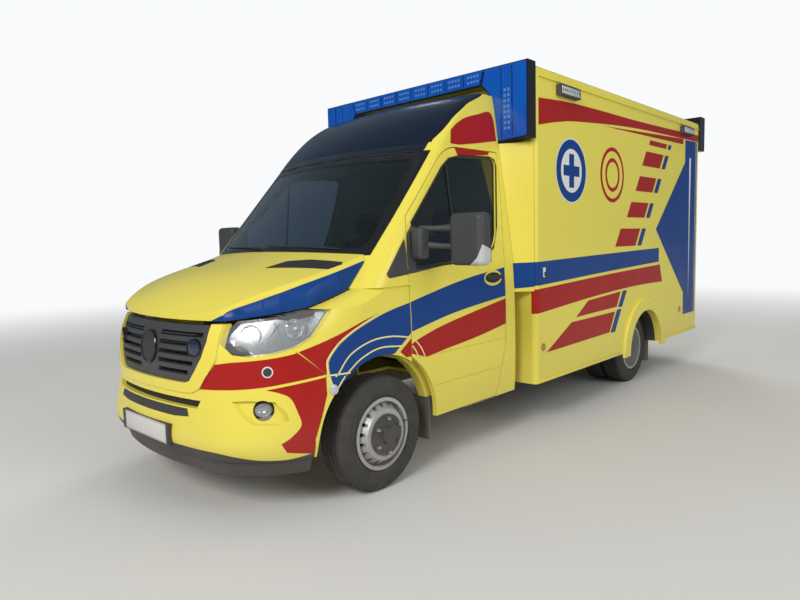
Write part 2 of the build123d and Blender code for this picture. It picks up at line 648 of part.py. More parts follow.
def hinge(heights):
    """Barrels for a door on +X of the hinge line, and the pins and straps of its frame.

    The outside is +Y, and the frame's face is 17 mm inside the hinge line.
    """
    door, frame = Part(), Part()
    wall_y, half, gap, knuckle = -17, HINGE_L / 2, 6, 20
    for z in heights:
        leaf = block(0, 54, -11, -5, z - half, z + half) + block(14, 54, wall_y - 2, -5, z - half, z + half)
        bore = rod(0, 0, z, HINGE_PIN_R + HINGE_PLAY, HINGE_L + 2, "Z")
        door += rod(0, 0, z, HINGE_R, HINGE_L, "Z") + leaf - bore
        low, high = half + gap, half + gap + knuckle
        frame += rod(0, 0, z, HINGE_PIN_R, 2 * high, "Z")
        frame += block(-50, -18, wall_y, -11, z - high, z + high)
        for way in (1, -1):
            frame += rod(0, 0, z + way * (low + high) / 2, HINGE_R, knuckle, "Z")
            frame += block(-50, 0, wall_y, -6, z + way * low, z + way * high)
    return door, frame


def box_body():
    plan = Pos(0, (BOX_FRONT_Y + BOX_REAR_Y) / 2)
    length = BOX_REAR_Y - BOX_FRONT_Y
    body_plan = plan * RectangleRounded(2 * BOX_HALF_W, length, BOX_CORNER_R)
    outer = extrude(Pos(0, 0, BOX_BASE_Z) * body_plan, BOX_SEAM_Z - BOX_BASE_Z)
    inner_w = 2 * (BOX_HALF_W - BOX_WALL)
    ring = outer - extrude(Pos(0, 0, BOX_BASE_Z - 1) * plan * Rectangle(inner_w, length - 2 * BOX_WALL), 3000)
    far = 3000
    front_wall = ring & block(-far, far, 0, FRONT_WALL_END_Y, 0, far)
    write("box_front_wall", front_wall - block(-700, 700, 1500, 1700, 0, BOX_FLOOR_Z - 60))
    arch = rod(0, WHEELBASE, TYRE_R, BOX_ARCH_R, 2400)
    for name, side in (("left", 1), ("right", -1)):
        wall = ring & block(0, side * far, FRONT_WALL_END_Y, REAR_FRAME_Y, 0, far)
        wall -= arch
        if side < 0:
            wall -= block(0, -far, *SIDE_DOOR_Y, *SIDE_DOOR_Z)
            wall += Pos(*SIDE_HINGE, 0) * Rot(0, 0, 90) * hinge(SIDE_HINGE_Z)[1]
        write(f"box_side_{name}", wall)
    opening = block(-REAR_OPENING_HALF_W, REAR_OPENING_HALF_W, 5000, 5400, *REAR_OPENING_Z)
    rear = (ring & block(-far, far, REAR_FRAME_Y, far * 2, 0, far)) - opening
    rear -= block(-760, 760, 5000, 5400, 0, 446)
    pins = Pos(-REAR_HINGE[0], REAR_HINGE[1], 0) * hinge(REAR_HINGE_Z)[1]
    write("rear_frame", rear + pins + mirrored(pins))
    roof = extrude(Pos(0, 0, BOX_SEAM_Z) * body_plan, BOX_TOP_Z - BOX_SEAM_Z)
    roof = fillet(roof.faces().sort_by(Axis.Z)[-1].edges(), 36)
    write("box_roof", roof)
    half = BOX_HALF_W - BOX_WALL
    floor = block(-half, half, BOX_FRONT_Y + BOX_WALL, BOX_REAR_Y - BOX_WALL, BOX_FLOOR_Z - 60, BOX_FLOOR_Z)
    for y in (1700, 2350, 3000, 4330, 5000):
        floor += block(-half, half, y - 30, y + 30, RAIL_TOP_Z, BOX_FLOOR_Z - 59)
    write("box_floor", floor)
    flare = rod(1112, WHEELBASE, TYRE_R, FLARE_R, 28) - rod(1112, WHEELBASE, TYRE_R, BOX_ARCH_R, 60)
    outer_rims = flare.edges().filter_by(GeomType.CIRCLE).group_by(Axis.X)[-1]
    flare = fillet(outer_rims.sort_by(lambda rim: rim.radius)[-1], 18)
    flare &= block(1090, 1200, 3000, 4400, 340, 900)
    flare -= block(1000, BOX_HALF_W, 3000, 4400, 300, 900)
    write("arch_flares", flare, mirrored(flare))


def rear_doors():
    low, high = REAR_OPENING_Z
    for name, side in (("left", 1), ("right", -1)):
        x0, x1 = GAP / 2, REAR_OPENING_HALF_W - GAP
        door = block(x0, x1, 5190, BOX_REAR_Y - 2, low + GAP, high - GAP)
        window = upright_slab((x0 + x1) / 2, 1900, 440, 600, 5100, 5300, 60)
        door -= window
        door += mirrored(Pos(-REAR_HINGE[0], REAR_HINGE[1], 0) * hinge(REAR_HINGE_Z)[0])
        handle = block(60, 200, BOX_REAR_Y - 3, BOX_REAR_Y + 20, 1180, 1220)
        pane = window & block(0, 1000, 5205, 5211, 0, 3000)
        for node, shape in ((f"rear_door_{name}", door + handle), (f"rear_glass_{name}", pane)):
            write(node, shape if side > 0 else mirrored(shape))


def side_door():
    y0, y1 = SIDE_DOOR_Y
    z0, z1 = SIDE_DOOR_Z
    outer, inner = -BOX_HALF_W, -BOX_HALF_W + 40
    door = block(outer, inner, y0 + GAP, y1 - GAP, z0 + GAP, z1 - GAP)
    window = block(-1200, -1000, y0 + 150, y1 - 150, 1600, 2200)
    window = fillet(window.edges().filter_by(Axis.X), 60)
    door += Pos(*SIDE_HINGE, 0) * Rot(0, 0, 90) * hinge(SIDE_HINGE_Z)[0]
    write("side_door", door - window)
    write("side_glass", window & block(outer + 14, outer + 20, y0, y1, z0, z1))


def rear_fittings():
    step = block(-720, 720, BOX_REAR_Y, 5430, 400, 440)
    step -= block(-700, 700, BOX_REAR_Y + 30, 5400, 430, 450)
    for x in (-405, 405):
        step += block(x - 30, x + 30, 5150, BOX_REAR_Y + 20, 400, 440)
        step += block(x - 30, x + 30, 5150, 5184, 400, 560)
    write("rear_step", step)
    lamp = block(800, 1040, BOX_REAR_Y, BOX_REAR_Y + 30, 480, 600)
    write("rear_lamps", lamp, mirrored(lamp))


def blue_lights():
    """The lamp frames over the cab and at the rear corners, with their lenses."""
    shape = outline(
        (-1105, 2795), (1105, 2795), (1105, 2240), (835, 2225), (755, 2610), (700, 2668),
        (-700, 2668), (-755, 2610), (-835, 2225), (-1105, 2240),
    )
    frame = front_prism(shape, 1446, BOX_FRONT_Y)
    frame += block(-1105, 1105, 1500, BOX_FRONT_Y, 2670, 2795)
    bar = front_prism(outline((-722, 2785), (722, 2785), (690, 2680), (-690, 2680)), 1425, 1470)
    pod = front_prism(
        outline((738, 2785), (1093, 2785), (1093, 2254), (848, 2241), (770, 2612), (712, 2676)), 1434, 1480
    )
    lenses = [bar, pod, mirrored(pod)]
    frame_cut = bar + pod + mirrored(pod)
    rear_frame = block(760, 1105, BOX_REAR_Y, 5400, 2470, 2860)
    rear_frame = fillet(rear_frame.edges().filter_by(Axis.X), 20)
    lens = block(780, 1085, 5380, 5440, 2500, 2840)
    rear_frame -= lens
    write("lamp_frames", frame - frame_cut, rear_frame, mirrored(rear_frame))
    write("blue_lenses", *lenses, lens, mirrored(lens))
    lamps = []
    for y in (2025, 4750):
        lamp = block(BOX_HALF_W, BOX_HALF_W + 45, y - 160, y + 160, 2600, 2680)
        lamps += [lamp, mirrored(lamp)]
    write("scene_lamps", *lamps)


if __name__ == "__main__":
    os.makedirs("parts", exist_ok=True)
    chassis()
    power_train()
    front_axle()
    rear_axle()
    wheels()
    cab()
    cab_inside()
    cab_front()
    liners_and_flaps()
    roof_fairing()
    box_body()
    rear_doors()
    side_door()
    rear_fittings()
    blue_lights()
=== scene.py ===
import math
import bpy
import bmesh
from mathutils import Matrix, Vector
from mathutils.bvhtree import BVHTree


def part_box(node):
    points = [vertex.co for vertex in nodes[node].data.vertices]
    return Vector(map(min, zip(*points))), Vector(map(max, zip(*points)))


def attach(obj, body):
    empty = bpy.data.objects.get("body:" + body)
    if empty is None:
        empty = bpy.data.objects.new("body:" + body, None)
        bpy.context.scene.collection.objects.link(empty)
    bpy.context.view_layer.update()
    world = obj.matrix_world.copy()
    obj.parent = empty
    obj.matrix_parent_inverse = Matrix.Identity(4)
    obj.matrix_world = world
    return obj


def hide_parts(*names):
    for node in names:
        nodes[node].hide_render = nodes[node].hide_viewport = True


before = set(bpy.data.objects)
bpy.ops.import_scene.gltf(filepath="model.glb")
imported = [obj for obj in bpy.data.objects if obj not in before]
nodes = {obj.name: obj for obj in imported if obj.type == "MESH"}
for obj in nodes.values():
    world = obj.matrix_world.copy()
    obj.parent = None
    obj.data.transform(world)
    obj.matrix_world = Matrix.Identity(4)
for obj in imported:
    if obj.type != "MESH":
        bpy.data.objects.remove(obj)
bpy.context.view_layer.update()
tyreLow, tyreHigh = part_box("front_tyre_left")
axleY = (tyreLow.y + tyreHigh.y) / 2    # every y below counts rearward from the front axle
rearTyreLow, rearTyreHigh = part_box("rear_tyres_left")
rearAxleY = (rearTyreLow.y + rearTyreHigh.y) / 2 - axleY
sides = {"left": 1, "right": -1}
# How far two vertices may lie apart to be joined: in a node's mesh, in a film and in a pillow
joinWithin = {"node": 0.00002, "film": 0.00005, "pillow": 0.0001}
# A face is kept in a film or skin where it looks this much the wanted way, as a cosine
lookingOut = {"film": 0.12, "skin": 0.3}
sharpAngle = {"film": 30, "piece": 35}
leastMitre = 0.3    # the cosine that keeps a frame's mitre short at a sharp corner
print("frame loaded", len(nodes), "nodes")


# Meshes

def addObject(name, mesh, material, body):
    piece = bpy.data.objects.new(name, mesh)
    bpy.context.scene.collection.objects.link(piece)
    for item in material if isinstance(material, (list, tuple)) else [material]:
        mesh.materials.append(item)
    if body:
        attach(piece, body)
    return piece


# smooth is the angle in degrees below which an edge is shaded round
def addBmesh(name, bm, material, body, smooth=sharpAngle["piece"]):
    mesh = bpy.data.meshes.new(name)
    bmesh.ops.recalc_face_normals(bm, faces=bm.faces)
    bm.to_mesh(mesh)
    bm.free()
    if smooth:
        mesh.shade_smooth()
        mesh.set_sharp_from_angle(angle=math.radians(smooth))
    return addObject(name, mesh, material, body)


# A smooth line through its points, which stay on it
def curveThrough(points, steps=6):
    if len(points) == 2:
        return [Vector(p) for p in points]
    pts = [Vector(p) for p in points]
    ends = [2 * pts[0] - pts[1]] + pts + [2 * pts[-1] - pts[-2]]
    line = []
    for i in range(1, len(ends) - 2):
        a, b, c, d = ends[i - 1:i + 3]
        for s in range(steps):
            t = s / steps
            line.append(0.5 * (2 * b + (c - a) * t + (2 * a - 5 * b + 4 * c - d) * t * t
                               + (3 * b - a - 3 * c + d) * t ** 3))
    return line + [pts[-1]]


# A closed outline from runs: each run is smooth, and runs meet at corners
def ringOf(runs):
    ring = []
    for i, run in enumerate(runs):
        nextRun = runs[(i + 1) % len(runs)]
        line = curveThrough(list(run) + [nextRun[0]])
        ring += line[:-1]
    return ring


def corners(*points):
    return [[p] for p in points]


def eitherSide(line, offsets):
    pairs = list(zip(line, offsets))
    return [p + off for p, off in pairs] + [p - off for p, off in reversed(pairs)]


# A narrow outline either side of a smooth line
def band(points, width):
    line = curveThrough(points)
    ways = [(line[min(i + 1, len(line) - 1)] - line[max(i - 1, 0)]).normalized() for i in range(len(line))]
    return eitherSide(line, [Vector((-way.y, way.x)) * width / 2 for way in ways])


# A narrow closed frame along a polygon, open by a hair so that it is one outline
def frameRing(points, width, hair=0.0003):
    pts = [Vector(p) for p in points]
    middle = (pts[-1] + pts[0]) / 2
    closing = (pts[0] - pts[-1]).normalized()
    line = [middle + closing * hair] + pts + [middle - closing * hair]
    offsets = []
    for i, p in enumerate(line):
        before = (p - line[i - 1]).normalized() if i else closing
        after = (line[i + 1] - p).normalized() if i + 1 < len(line) else closing
        lean = (before + after).normalized()
        offsets.append(Vector((-lean.y, lean.x)) * width / 2 / max(leastMitre, lean.dot(after)))
    return eitherSide(line, offsets)


def oval(y, z, halfWidth, halfHeight, count=48):
    return [Vector((y + halfWidth * math.cos(a), z + halfHeight * math.sin(a)))
            for a in (2 * math.pi * i / count for i in range(count))]


def disc(y, z, r):
    return oval(y, z, r, r)


# A point given by two places in the view along an axis, and its depth on that axis.
# The axes d and e run outward through the nose's left and right front corner, at 45 degrees.
def toFrame(axis, a, b, depth):
    if axis == "x":
        return Vector((depth, a + axleY, b))
    if axis in ("d", "e"):
        side = 1 if axis == "d" else -1
        return Vector((side * (a + depth) / math.sqrt(2), (a - depth) / math.sqrt(2) + axleY, b))
    if axis == "y":
        return Vector((a, depth + axleY, b))
    return Vector((a, b + axleY, depth))


# A place (x, y, z) counted from the front axle, on either side
def sidePoint(point, side=1):
    return Vector((side * point[0], point[1] + axleY, point[2]))


# Places on the nose, measured as (x, y, z), as an outline in the view along its corner's axis
def cornerRing(points):
    return [Vector(((x + y) / math.sqrt(2), z)) for x, y, z in points]


def addPrism(bm, ring, axis, low, high):
    lower = [bm.verts.new(toFrame(axis, p[0], p[1], low)) for p in ring]
    upper = [bm.verts.new(toFrame(axis, p[0], p[1], high)) for p in ring]
    count = len(ring)
    faces = [bm.faces.new(lower), bm.faces.new(upper[::-1])]
    for i in range(count):
        j = (i + 1) % count
        faces.append(bm.faces.new((lower[j], lower[i], upper[i], upper[j])))
    return faces


def addBlock(bm, x0, x1, y0, y1, z0, z1, bevel=0.0, segments=2):
    made = bmesh.ops.create_cube(bm, size=1)["verts"]
    size = (abs(x1 - x0), abs(y1 - y0), abs(z1 - z0))
    bmesh.ops.scale(bm, vec=size, verts=made)
    bmesh.ops.translate(bm, vec=((x0 + x1) / 2, (y0 + y1) / 2 + axleY, (z0 + z1) / 2), verts=made)
    if bevel:
        edges = list({e for v in made for e in v.link_edges})
        bmesh.ops.bevel(bm, geom=edges, offset=bevel, segments=segments, affect="EDGES", profile=0.5)


# A profile of (radius, height) points turned about a line through centre
def addTurned(bm, profile, centre, way, count=32):
    turn = Vector((0, 0, 1)).rotation_difference(Vector(way).normalized()).to_matrix()
    rings = []
    for r, h in profile:
        if r < 1e-6:
            rings.append([bm.verts.new(Vector(centre) + turn @ Vector((0, 0, h)))])
            continue
        rings.append([bm.verts.new(Vector(centre) + turn @ Vector((r * math.cos(a), r * math.sin(a), h)))
                      for a in (2 * math.pi * i / count for i in range(count))])
    for a, b in zip(rings, rings[1:]):
        for i in range(count):
            j = (i + 1) % count
            corner = [a[i % len(a)], a[j % len(a)], b[j % len(b)], b[i % len(b)]]
            unique = [v for k, v in enumerate(corner) if v not in corner[:k]]
            if len(unique) > 2:
                bm.faces.new(unique)


# A round bar along a line of points. radius may be one value for each point
def addTube(bm, points, radius, count=12):
    pts = [Vector(p) for p in points]
    rings = []
    side = None
    for i, p in enumerate(pts):
        way = (pts[min(i + 1, len(pts) - 1)] - pts[max(i - 1, 0)]).normalized()
        if side is None:
            side = way.orthogonal().normalized()
        side = (side - way * side.dot(way)).normalized()
        other = way.cross(side)
        r = radius[i] if isinstance(radius, (list, tuple)) else radius
        rings.append([bm.verts.new(p + r * (side * math.cos(a) + other * math.sin(a)))
                      for a in (2 * math.pi * k / count for k in range(count))])
    for a, b in zip(rings, rings[1:]):
        for k in range(count):
            bm.faces.new((a[k], a[(k + 1) % count], b[(k + 1) % count], b[k]))
    bm.faces.new(rings[0][::-1])
    bm.faces.new(rings[-1])


def nodeMesh(node):
    bm = bmesh.new()
    bm.from_mesh(nodes[node].data)
    bmesh.ops.remove_doubles(bm, verts=bm.verts, dist=joinWithin["node"])
    return bm


def treeOf(node):
    bm = nodeMesh(node)
    tree = BVHTree.FromBMesh(bm)
    bm.free()
    return tree


# The part of a node's mesh that lies inside prisms of the rings, as a bmesh
def cutOut(node, rings, axis, span):
    base = bpy.data.meshes.new("base")
    bm = nodeMesh(node)
    bm.to_mesh(base)
    bm.free()
    cutter = bpy.data.meshes.new("cutter")
    bm = bmesh.new()
    for ring in rings:
        addPrism(bm, ring, axis, *span)
    bmesh.ops.recalc_face_normals(bm, faces=bm.faces)
    bm.to_mesh(cutter)
    bm.free()
    baseObject = bpy.data.objects.new("base", base)
    cutterObject = bpy.data.objects.new("cutter", cutter)
    for item in (baseObject, cutterObject):
        bpy.context.scene.collection.objects.link(item)
    cut = baseObject.modifiers.new("cut", "BOOLEAN")
    cut.operation = "INTERSECT"
    cut.solver = "EXACT"
    cut.object = cutterObject
    done = baseObject.evaluated_get(bpy.context.evaluated_depsgraph_get())
    bm = bmesh.new()
    bm.from_mesh(done.data)
    for item in (baseObject, cutterObject):
        mesh = item.data
        bpy.data.objects.remove(item)
        bpy.data.meshes.remove(mesh)
    return bm


# A thin coloured film on the outside of a node, inside the rings as seen along an axis.
# With a core, it stays where the surface faces away from that point.
def addFilm(name, node, rings, axis, span, facing, material, body, over=0.0008, core=None):
    bm = cutOut(node, rings, axis, span)
    way = Vector(facing).normalized()
    heart = sidePoint(core) if core else None
    off = []
    for f in bm.faces:
        outward = (f.calc_center_median() - heart).normalized() if core else way
        if f.normal.dot(outward) < lookingOut["film"]:
            off.append(f)
    bmesh.ops.delete(bm, geom=off, context="FACES")
    bmesh.ops.remove_doubles(bm, verts=bm.verts, dist=joinWithin["film"])
    bm.normal_update()
    for v in bm.verts:
        v.co += v.normal * over
    mesh = bpy.data.meshes.new(name)
    bm.to_mesh(mesh)
    bm.free()
    mesh.shade_smooth()
    mesh.set_sharp_from_angle(angle=math.radians(sharpAngle["film"]))
    return addObject(name, mesh, material, body)


# A flat film on the box's side, whose outline is given as (y, z)
def addFlatFilm(name, rings, x, material, body):
    bm = bmesh.new()
    for ring in rings:
        bm.faces.new([bm.verts.new(toFrame("x", p[0], p[1], x)) for p in ring])
    bm.normal_update()
    for face in bm.faces:
        if face.normal.x * x < 0:
            face.normal_flip()
    bmesh.ops.triangulate(bm, faces=[f for f in bm.faces if len(f.verts) > 4])
    mesh = bpy.data.meshes.new(name)
    bm.to_mesh(mesh)
    bm.free()
    return addObject(name, mesh, material, body)


# Effects that several materials share, as node groups

def newGroup(name, inputs, outputs):
    group = bpy.data.node_groups.new(name, "ShaderNodeTree")
    for label, kind, value in inputs:
        item = group.interface.new_socket(label, in_out="INPUT", socket_type="NodeSocket" + kind)
        item.default_value = value
    for label, kind in outputs:
        group.interface.new_socket(label, in_out="OUTPUT", socket_type="NodeSocket" + kind)
    start = group.nodes.new("NodeGroupInput")
    end = group.nodes.new("NodeGroupOutput")
    return group, start, end


# Adds a node, sets its properties and sockets, and joins sockets to it
def addNode(tree, kind, links=None, **values):
    node = tree.nodes.new(kind)
    for key, value in values.items():
        if hasattr(node, key):
            setattr(node, key, value)
        else:
            node.inputs[key].default_value = value
    for target, source in (links or {}).items():
        tree.links.new(source, node.inputs[target])
    return node


# A texture node laid out in object space
def addTexture(tree, kind, links=None, **values):
    place = addNode(tree, "ShaderNodeTexCoord").outputs["Object"]
    return addNode(tree, "ShaderNodeTex" + kind, {"Vector": place, **(links or {})}, **values)


def mathNode(tree, operation, a, b, clamp=False):
    node = tree.nodes.new("ShaderNodeMath")
    node.operation = operation
    node.use_clamp = clamp
    for slot, value in zip(node.inputs, (a, b)):
        if isinstance(value, (int, float)):
            slot.default_value = value
        else:
            tree.links.new(value, slot)
    return node.outputs[0]


def mixColour(tree, factor, a, b):
    node = tree.nodes.new("ShaderNodeMix")
    node.data_type = "RGBA"
    for slot, value in ((node.inputs["Factor"], factor), (node.inputs[6], a), (node.inputs[7], b)):
        if isinstance(value, (int, float)):
            slot.default_value = value
        elif isinstance(value, (tuple, list)):
            slot.default_value = (*value[:3], 1)
        else:
            tree.links.new(value, slot)
    return node.outputs[2]


# More near the ground, broken up by patches and fine specks
def makeRoadDust():
    group, start, end = newGroup("roadDust", [
        ("Amount", "Float", 0.3), ("Top height", "Float", 0.9), ("Patch scale", "Float", 2.5)],
        [("Mask", "Float")])
    place = addNode(group, "ShaderNodeTexCoord")
    height = addNode(group, "ShaderNodeSeparateXYZ", {"Vector": place.outputs["Object"]})
    low = addNode(group, "ShaderNodeMapRange", {
        "Value": height.outputs["Z"], "From Min": start.outputs["Top height"]})
    low.inputs["From Max"].default_value = 0.12
    low.inputs["To Max"].default_value = 1
    patches = addTexture(group, "Noise", {"Scale": start.outputs["Patch scale"]}, Detail=6.0)
    specks = addTexture(group, "Noise", Scale=160.0, Detail=3.0)
    patchy = mathNode(group, "MULTIPLY", patches.outputs["Fac"], 1.5)
    grainy = mathNode(group, "MULTIPLY", specks.outputs["Fac"], 1.4)
    mask = mathNode(group, "MULTIPLY", mathNode(group, "MULTIPLY", patchy, grainy), low.outputs["Result"])
    mask = mathNode(group, "MULTIPLY", mask, start.outputs["Amount"], clamp=True)
    group.links.new(mask, end.inputs["Mask"])
    return group


# A surface normal with fine and wide unevenness
def makeBumpGroup(name, fine, wide, wideShare):
    group, start, end = newGroup(name, [
        ("Scale", "Float", fine), ("Depth", "Float", 0.1)], [("Normal", "Vector")])
    small = addTexture(group, "Noise", {"Scale": start.outputs["Scale"]}, Detail=2.0)
    large = addTexture(group, "Noise", Scale=wide, Detail=1.0)
    share = mathNode(group, "MULTIPLY", large.outputs["Fac"], wideShare)
    height = mathNode(group, "ADD", small.outputs["Fac"], share)
    bump = addNode(group, "ShaderNodeBump", {"Height": height, "Strength": start.outputs["Depth"]},
                   Distance=0.001)
    group.links.new(bump.outputs["Normal"], end.inputs["Normal"])
    return group


# Moulded plastic: small round cells
def makeGrainGroup():
    group, start, end = newGroup("plasticGrain", [
        ("Scale", "Float", 900.0), ("Depth", "Float", 0.25)], [("Normal", "Vector")])
    cells = addTexture(group, "Voronoi", {"Scale": start.outputs["Scale"]})
    bump = addNode(group, "ShaderNodeBump", {
        "Height": cells.outputs["Distance"], "Strength": start.outputs["Depth"]}, Distance=0.0006)
    group.links.new(bump.outputs["Normal"], end.inputs["Normal"])
    return group


# Uneven gloss, from handling and drying water
def makeSmudgeGroup():
    group, start, end = newGroup("smudges", [
        ("Scale", "Float", 3.0), ("Low", "Float", 0.2), ("High", "Float", 0.4)], [("Value", "Float")])
    noise = addTexture(group, "Noise", {"Scale": start.outputs["Scale"]}, Detail=5.0, Roughness=0.6)
    spread = addNode(group, "ShaderNodeMapRange", {
        "Value": noise.outputs["Fac"], "To Min": start.outputs["Low"], "To Max": start.outputs["High"]})
    spread.inputs["From Min"].default_value = 0.3
    spread.inputs["From Max"].default_value = 0.7
    group.links.new(spread.outputs["Result"], end.inputs["Value"])
    return group


roadDust = makeRoadDust()
paintPeel = makeBumpGroup("paintPeel", 260.0, 3.0, 4.0)
roughCast = makeBumpGroup("roughCast", 240.0, 22.0, 1.5)
plasticGrain = makeGrainGroup()
smudges = makeSmudgeGroup()
dustColour = (0.34, 0.29, 0.22)


def useGroup(tree, group, **values):
    node = tree.nodes.new("ShaderNodeGroup")
    node.node_tree = group
    for key, value in values.items():
        node.inputs[key.replace("_", " ")].default_value = value
    return node


def newMaterial(name, roughness=0.4, metallic=0.0, coat=0.0, coatRoughness=0.05, transmission=0.0,
                ior=1.5, specular=0.5):
    material = bpy.data.materials.new(name)
    material.use_nodes = True
    shader = material.node_tree.nodes["Principled BSDF"]
    for label, value in (("Roughness", roughness), ("Metallic", metallic), ("Coat Weight", coat),
                         ("Coat Roughness", coatRoughness), ("Transmission Weight", transmission),
                         ("IOR", ior), ("Specular IOR Level", specular)):
        shader.inputs[label].default_value = value
    return material, material.node_tree, shader


# A colour between two by a factor, a surface unevenness (group, scale, depth) and a gloss (scale, low, high)
def dress(tree, shader, factor, colour, shade, bump=None, gloss=None):
    tree.links.new(mixColour(tree, factor, colour, shade), shader.inputs["Base Color"])
    if bump:
        skin = useGroup(tree, bump[0], Scale=bump[1], Depth=bump[2])
        tree.links.new(skin.outputs["Normal"], shader.inputs["Normal"])
    if gloss:
        uneven = useGroup(tree, smudges, Scale=gloss[0], Low=gloss[1], High=gloss[2])
        tree.links.new(uneven.outputs["Value"], shader.inputs["Roughness"])


# Colour that drifts to a shade of itself, uneven gloss, dust and a surface unevenness.
# gloss is (scale, low, high), dust is (amount, top height) and bump is (group, scale, depth).
def finishMaterial(name, colour, shade, gloss, dust, bump, **options):
    material, tree, shader = newMaterial(name, **options)
    drift = addTexture(tree, "Noise", Scale=1.3, Detail=3.0)
    base = mixColour(tree, drift.outputs["Fac"], colour, shade)
    film = useGroup(tree, roadDust, Amount=dust[0], Top_height=dust[1])
    dress(tree, shader, film.outputs["Mask"], base, dustColour, bump)
    uneven = useGroup(tree, smudges, Scale=gloss[0], Low=gloss[1], High=gloss[2])
    dull = mathNode(tree, "MULTIPLY", film.outputs["Mask"], 0.5)
    tree.links.new(mathNode(tree, "ADD", uneven.outputs["Value"], dull, clamp=True), shader.inputs["Roughness"])
    return material


paints = {
    # name: colour, shade, gloss, dust, coat
    "cabYellow": ((0.86, 0.74, 0.105), (0.82, 0.70, 0.085), (2.5, 0.24, 0.36), (0.35, 0.75), 0.3),
    "boxYellow": ((0.85, 0.74, 0.11), (0.81, 0.70, 0.09), (2.0, 0.28, 0.42), (0.35, 0.75), 0.2),
    "blueFilm": ((0.002, 0.052, 0.25), (0.003, 0.043, 0.21), (3.0, 0.30, 0.44), (0.12, 0.75), 0.05),
    "redFilm": ((0.42, 0.010, 0.006), (0.36, 0.008, 0.005), (3.0, 0.30, 0.44), (0.12, 0.75), 0.05),
    "whiteFilm": ((0.82, 0.82, 0.80), (0.76, 0.76, 0.75), (3.0, 0.25, 0.38), (0.2, 0.75), 0.4),
    "palePiping": ((0.90, 0.82, 0.32), (0.86, 0.78, 0.28), (3.0, 0.25, 0.38), (0.2, 0.75), 0.4),
    "blackCap": ((0.005, 0.010, 0.026), (0.008, 0.013, 0.032), (3.0, 0.16, 0.26), (0.1, 0.75), 0.15),
}
paintSkin = (paintPeel, 260.0, 0.05)
paintSpecular = 0.28
paint = {}
for label, (colour, shade, gloss, dust, coat) in paints.items():
    paint[label] = finishMaterial(label, colour, shade, gloss, dust, paintSkin, coat=coat, specular=paintSpecular)

plastics = {
    # name: colour, shade, gloss, dust, grain scale and depth
    "blackPlastic": ((0.022, 0.023, 0.025), (0.034, 0.034, 0.036), (6, 0.42, 0.62), (0.35, 0.8), 700, 0.3),
    "greyPlastic": ((0.045, 0.047, 0.050), (0.060, 0.062, 0.064), (6, 0.40, 0.58), (0.3, 1.0), 700, 0.3),
    "glossBlack": ((0.010, 0.010, 0.011), (0.016, 0.016, 0.017), (6, 0.10, 0.22), (0.15, 0.8), 500, 0.05),
    "sealRubber": ((0.012, 0.012, 0.012), (0.020, 0.020, 0.020), (8, 0.55, 0.75), (0.2, 0.8), 1200, 0.2),
    "trimPlastic": ((0.055, 0.056, 0.060), (0.070, 0.070, 0.072), (5, 0.50, 0.68), (0.0, 0.5), 600, 0.4),
    "flapRubber": ((0.05, 0.05, 0.048), (0.09, 0.085, 0.078), (8, 0.65, 0.85), (0.9, 0.8), 500, 0.4),
    "floorVinyl": ((0.16, 0.17, 0.18), (0.19, 0.20, 0.21), (5, 0.40, 0.60), (0.1, 0.5), 500, 0.3),
    "lampGrey": ((0.20, 0.21, 0.22), (0.26, 0.27, 0.28), (9, 0.25, 0.38), (0.0, 0.5), 900, 0.1),
    "plateWhite": ((0.72, 0.72, 0.70), (0.66, 0.66, 0.64), (9, 0.28, 0.40), (0.5, 0.9), 900, 0.1),
}
plastic = {}
for label, (colour, shade, gloss, dust, scale, depth) in plastics.items():
    plastic[label] = finishMaterial(label, colour, shade, gloss, dust, (plasticGrain, scale, depth))

metals = {
    # name: colour, shade, gloss, dust, bump scale and depth, metallic
    "wheelSilver": ((0.62, 0.62, 0.62), (0.50, 0.495, 0.485), (7, 0.34, 0.52), (0.55, 0.75), 220, 0.15, 0.6),
    "hubGrey": ((0.045, 0.046, 0.048), (0.075, 0.075, 0.075), (9, 0.40, 0.60), (0.45, 0.75), 260, 0.3, 0.4),
    "chassisBlack": ((0.025, 0.025, 0.027), (0.050, 0.046, 0.042), (5, 0.50, 0.75), (1.0, 1.0), 200, 0.4, 0.0),
    "castIron": ((0.11, 0.105, 0.10), (0.16, 0.13, 0.10), (6, 0.55, 0.80), (0.8, 1.1), 150, 0.8, 0.5),
    "exhaustSteel": ((0.30, 0.27, 0.24), (0.20, 0.16, 0.12), (5, 0.35, 0.60), (0.7, 0.9), 180, 0.3, 0.8),
    "stepAlloy": ((0.55, 0.56, 0.57), (0.45, 0.46, 0.47), (6, 0.30, 0.45), (0.3, 0.9), 300, 0.2, 0.9),
    "brightSteel": ((0.66, 0.66, 0.67), (0.58, 0.58, 0.58), (8, 0.18, 0.32), (0.2, 0.8), 300, 0.1, 1.0),
    "lampFoil": ((0.50, 0.52, 0.55), (0.36, 0.38, 0.41), (9, 0.22, 0.34), (0.0, 0.5), 60, 0.10, 0.7),
    "mirrorPane": ((0.80, 0.82, 0.84), (0.78, 0.80, 0.82), (6, 0.01, 0.04), (0.0, 0.5), 40, 0.01, 1.0),
    "chromeFacet": ((0.86, 0.87, 0.88), (0.80, 0.81, 0.82), (8, 0.06, 0.12), (0.0, 0.5), 90, 0.12, 1.0),
}
metal = {}
for label, (colour, shade, gloss, dust, scale, depth, metallic) in metals.items():
    metal[label] = finishMaterial(label, colour, shade, gloss, dust, (roughCast, scale, depth), metallic=metallic)


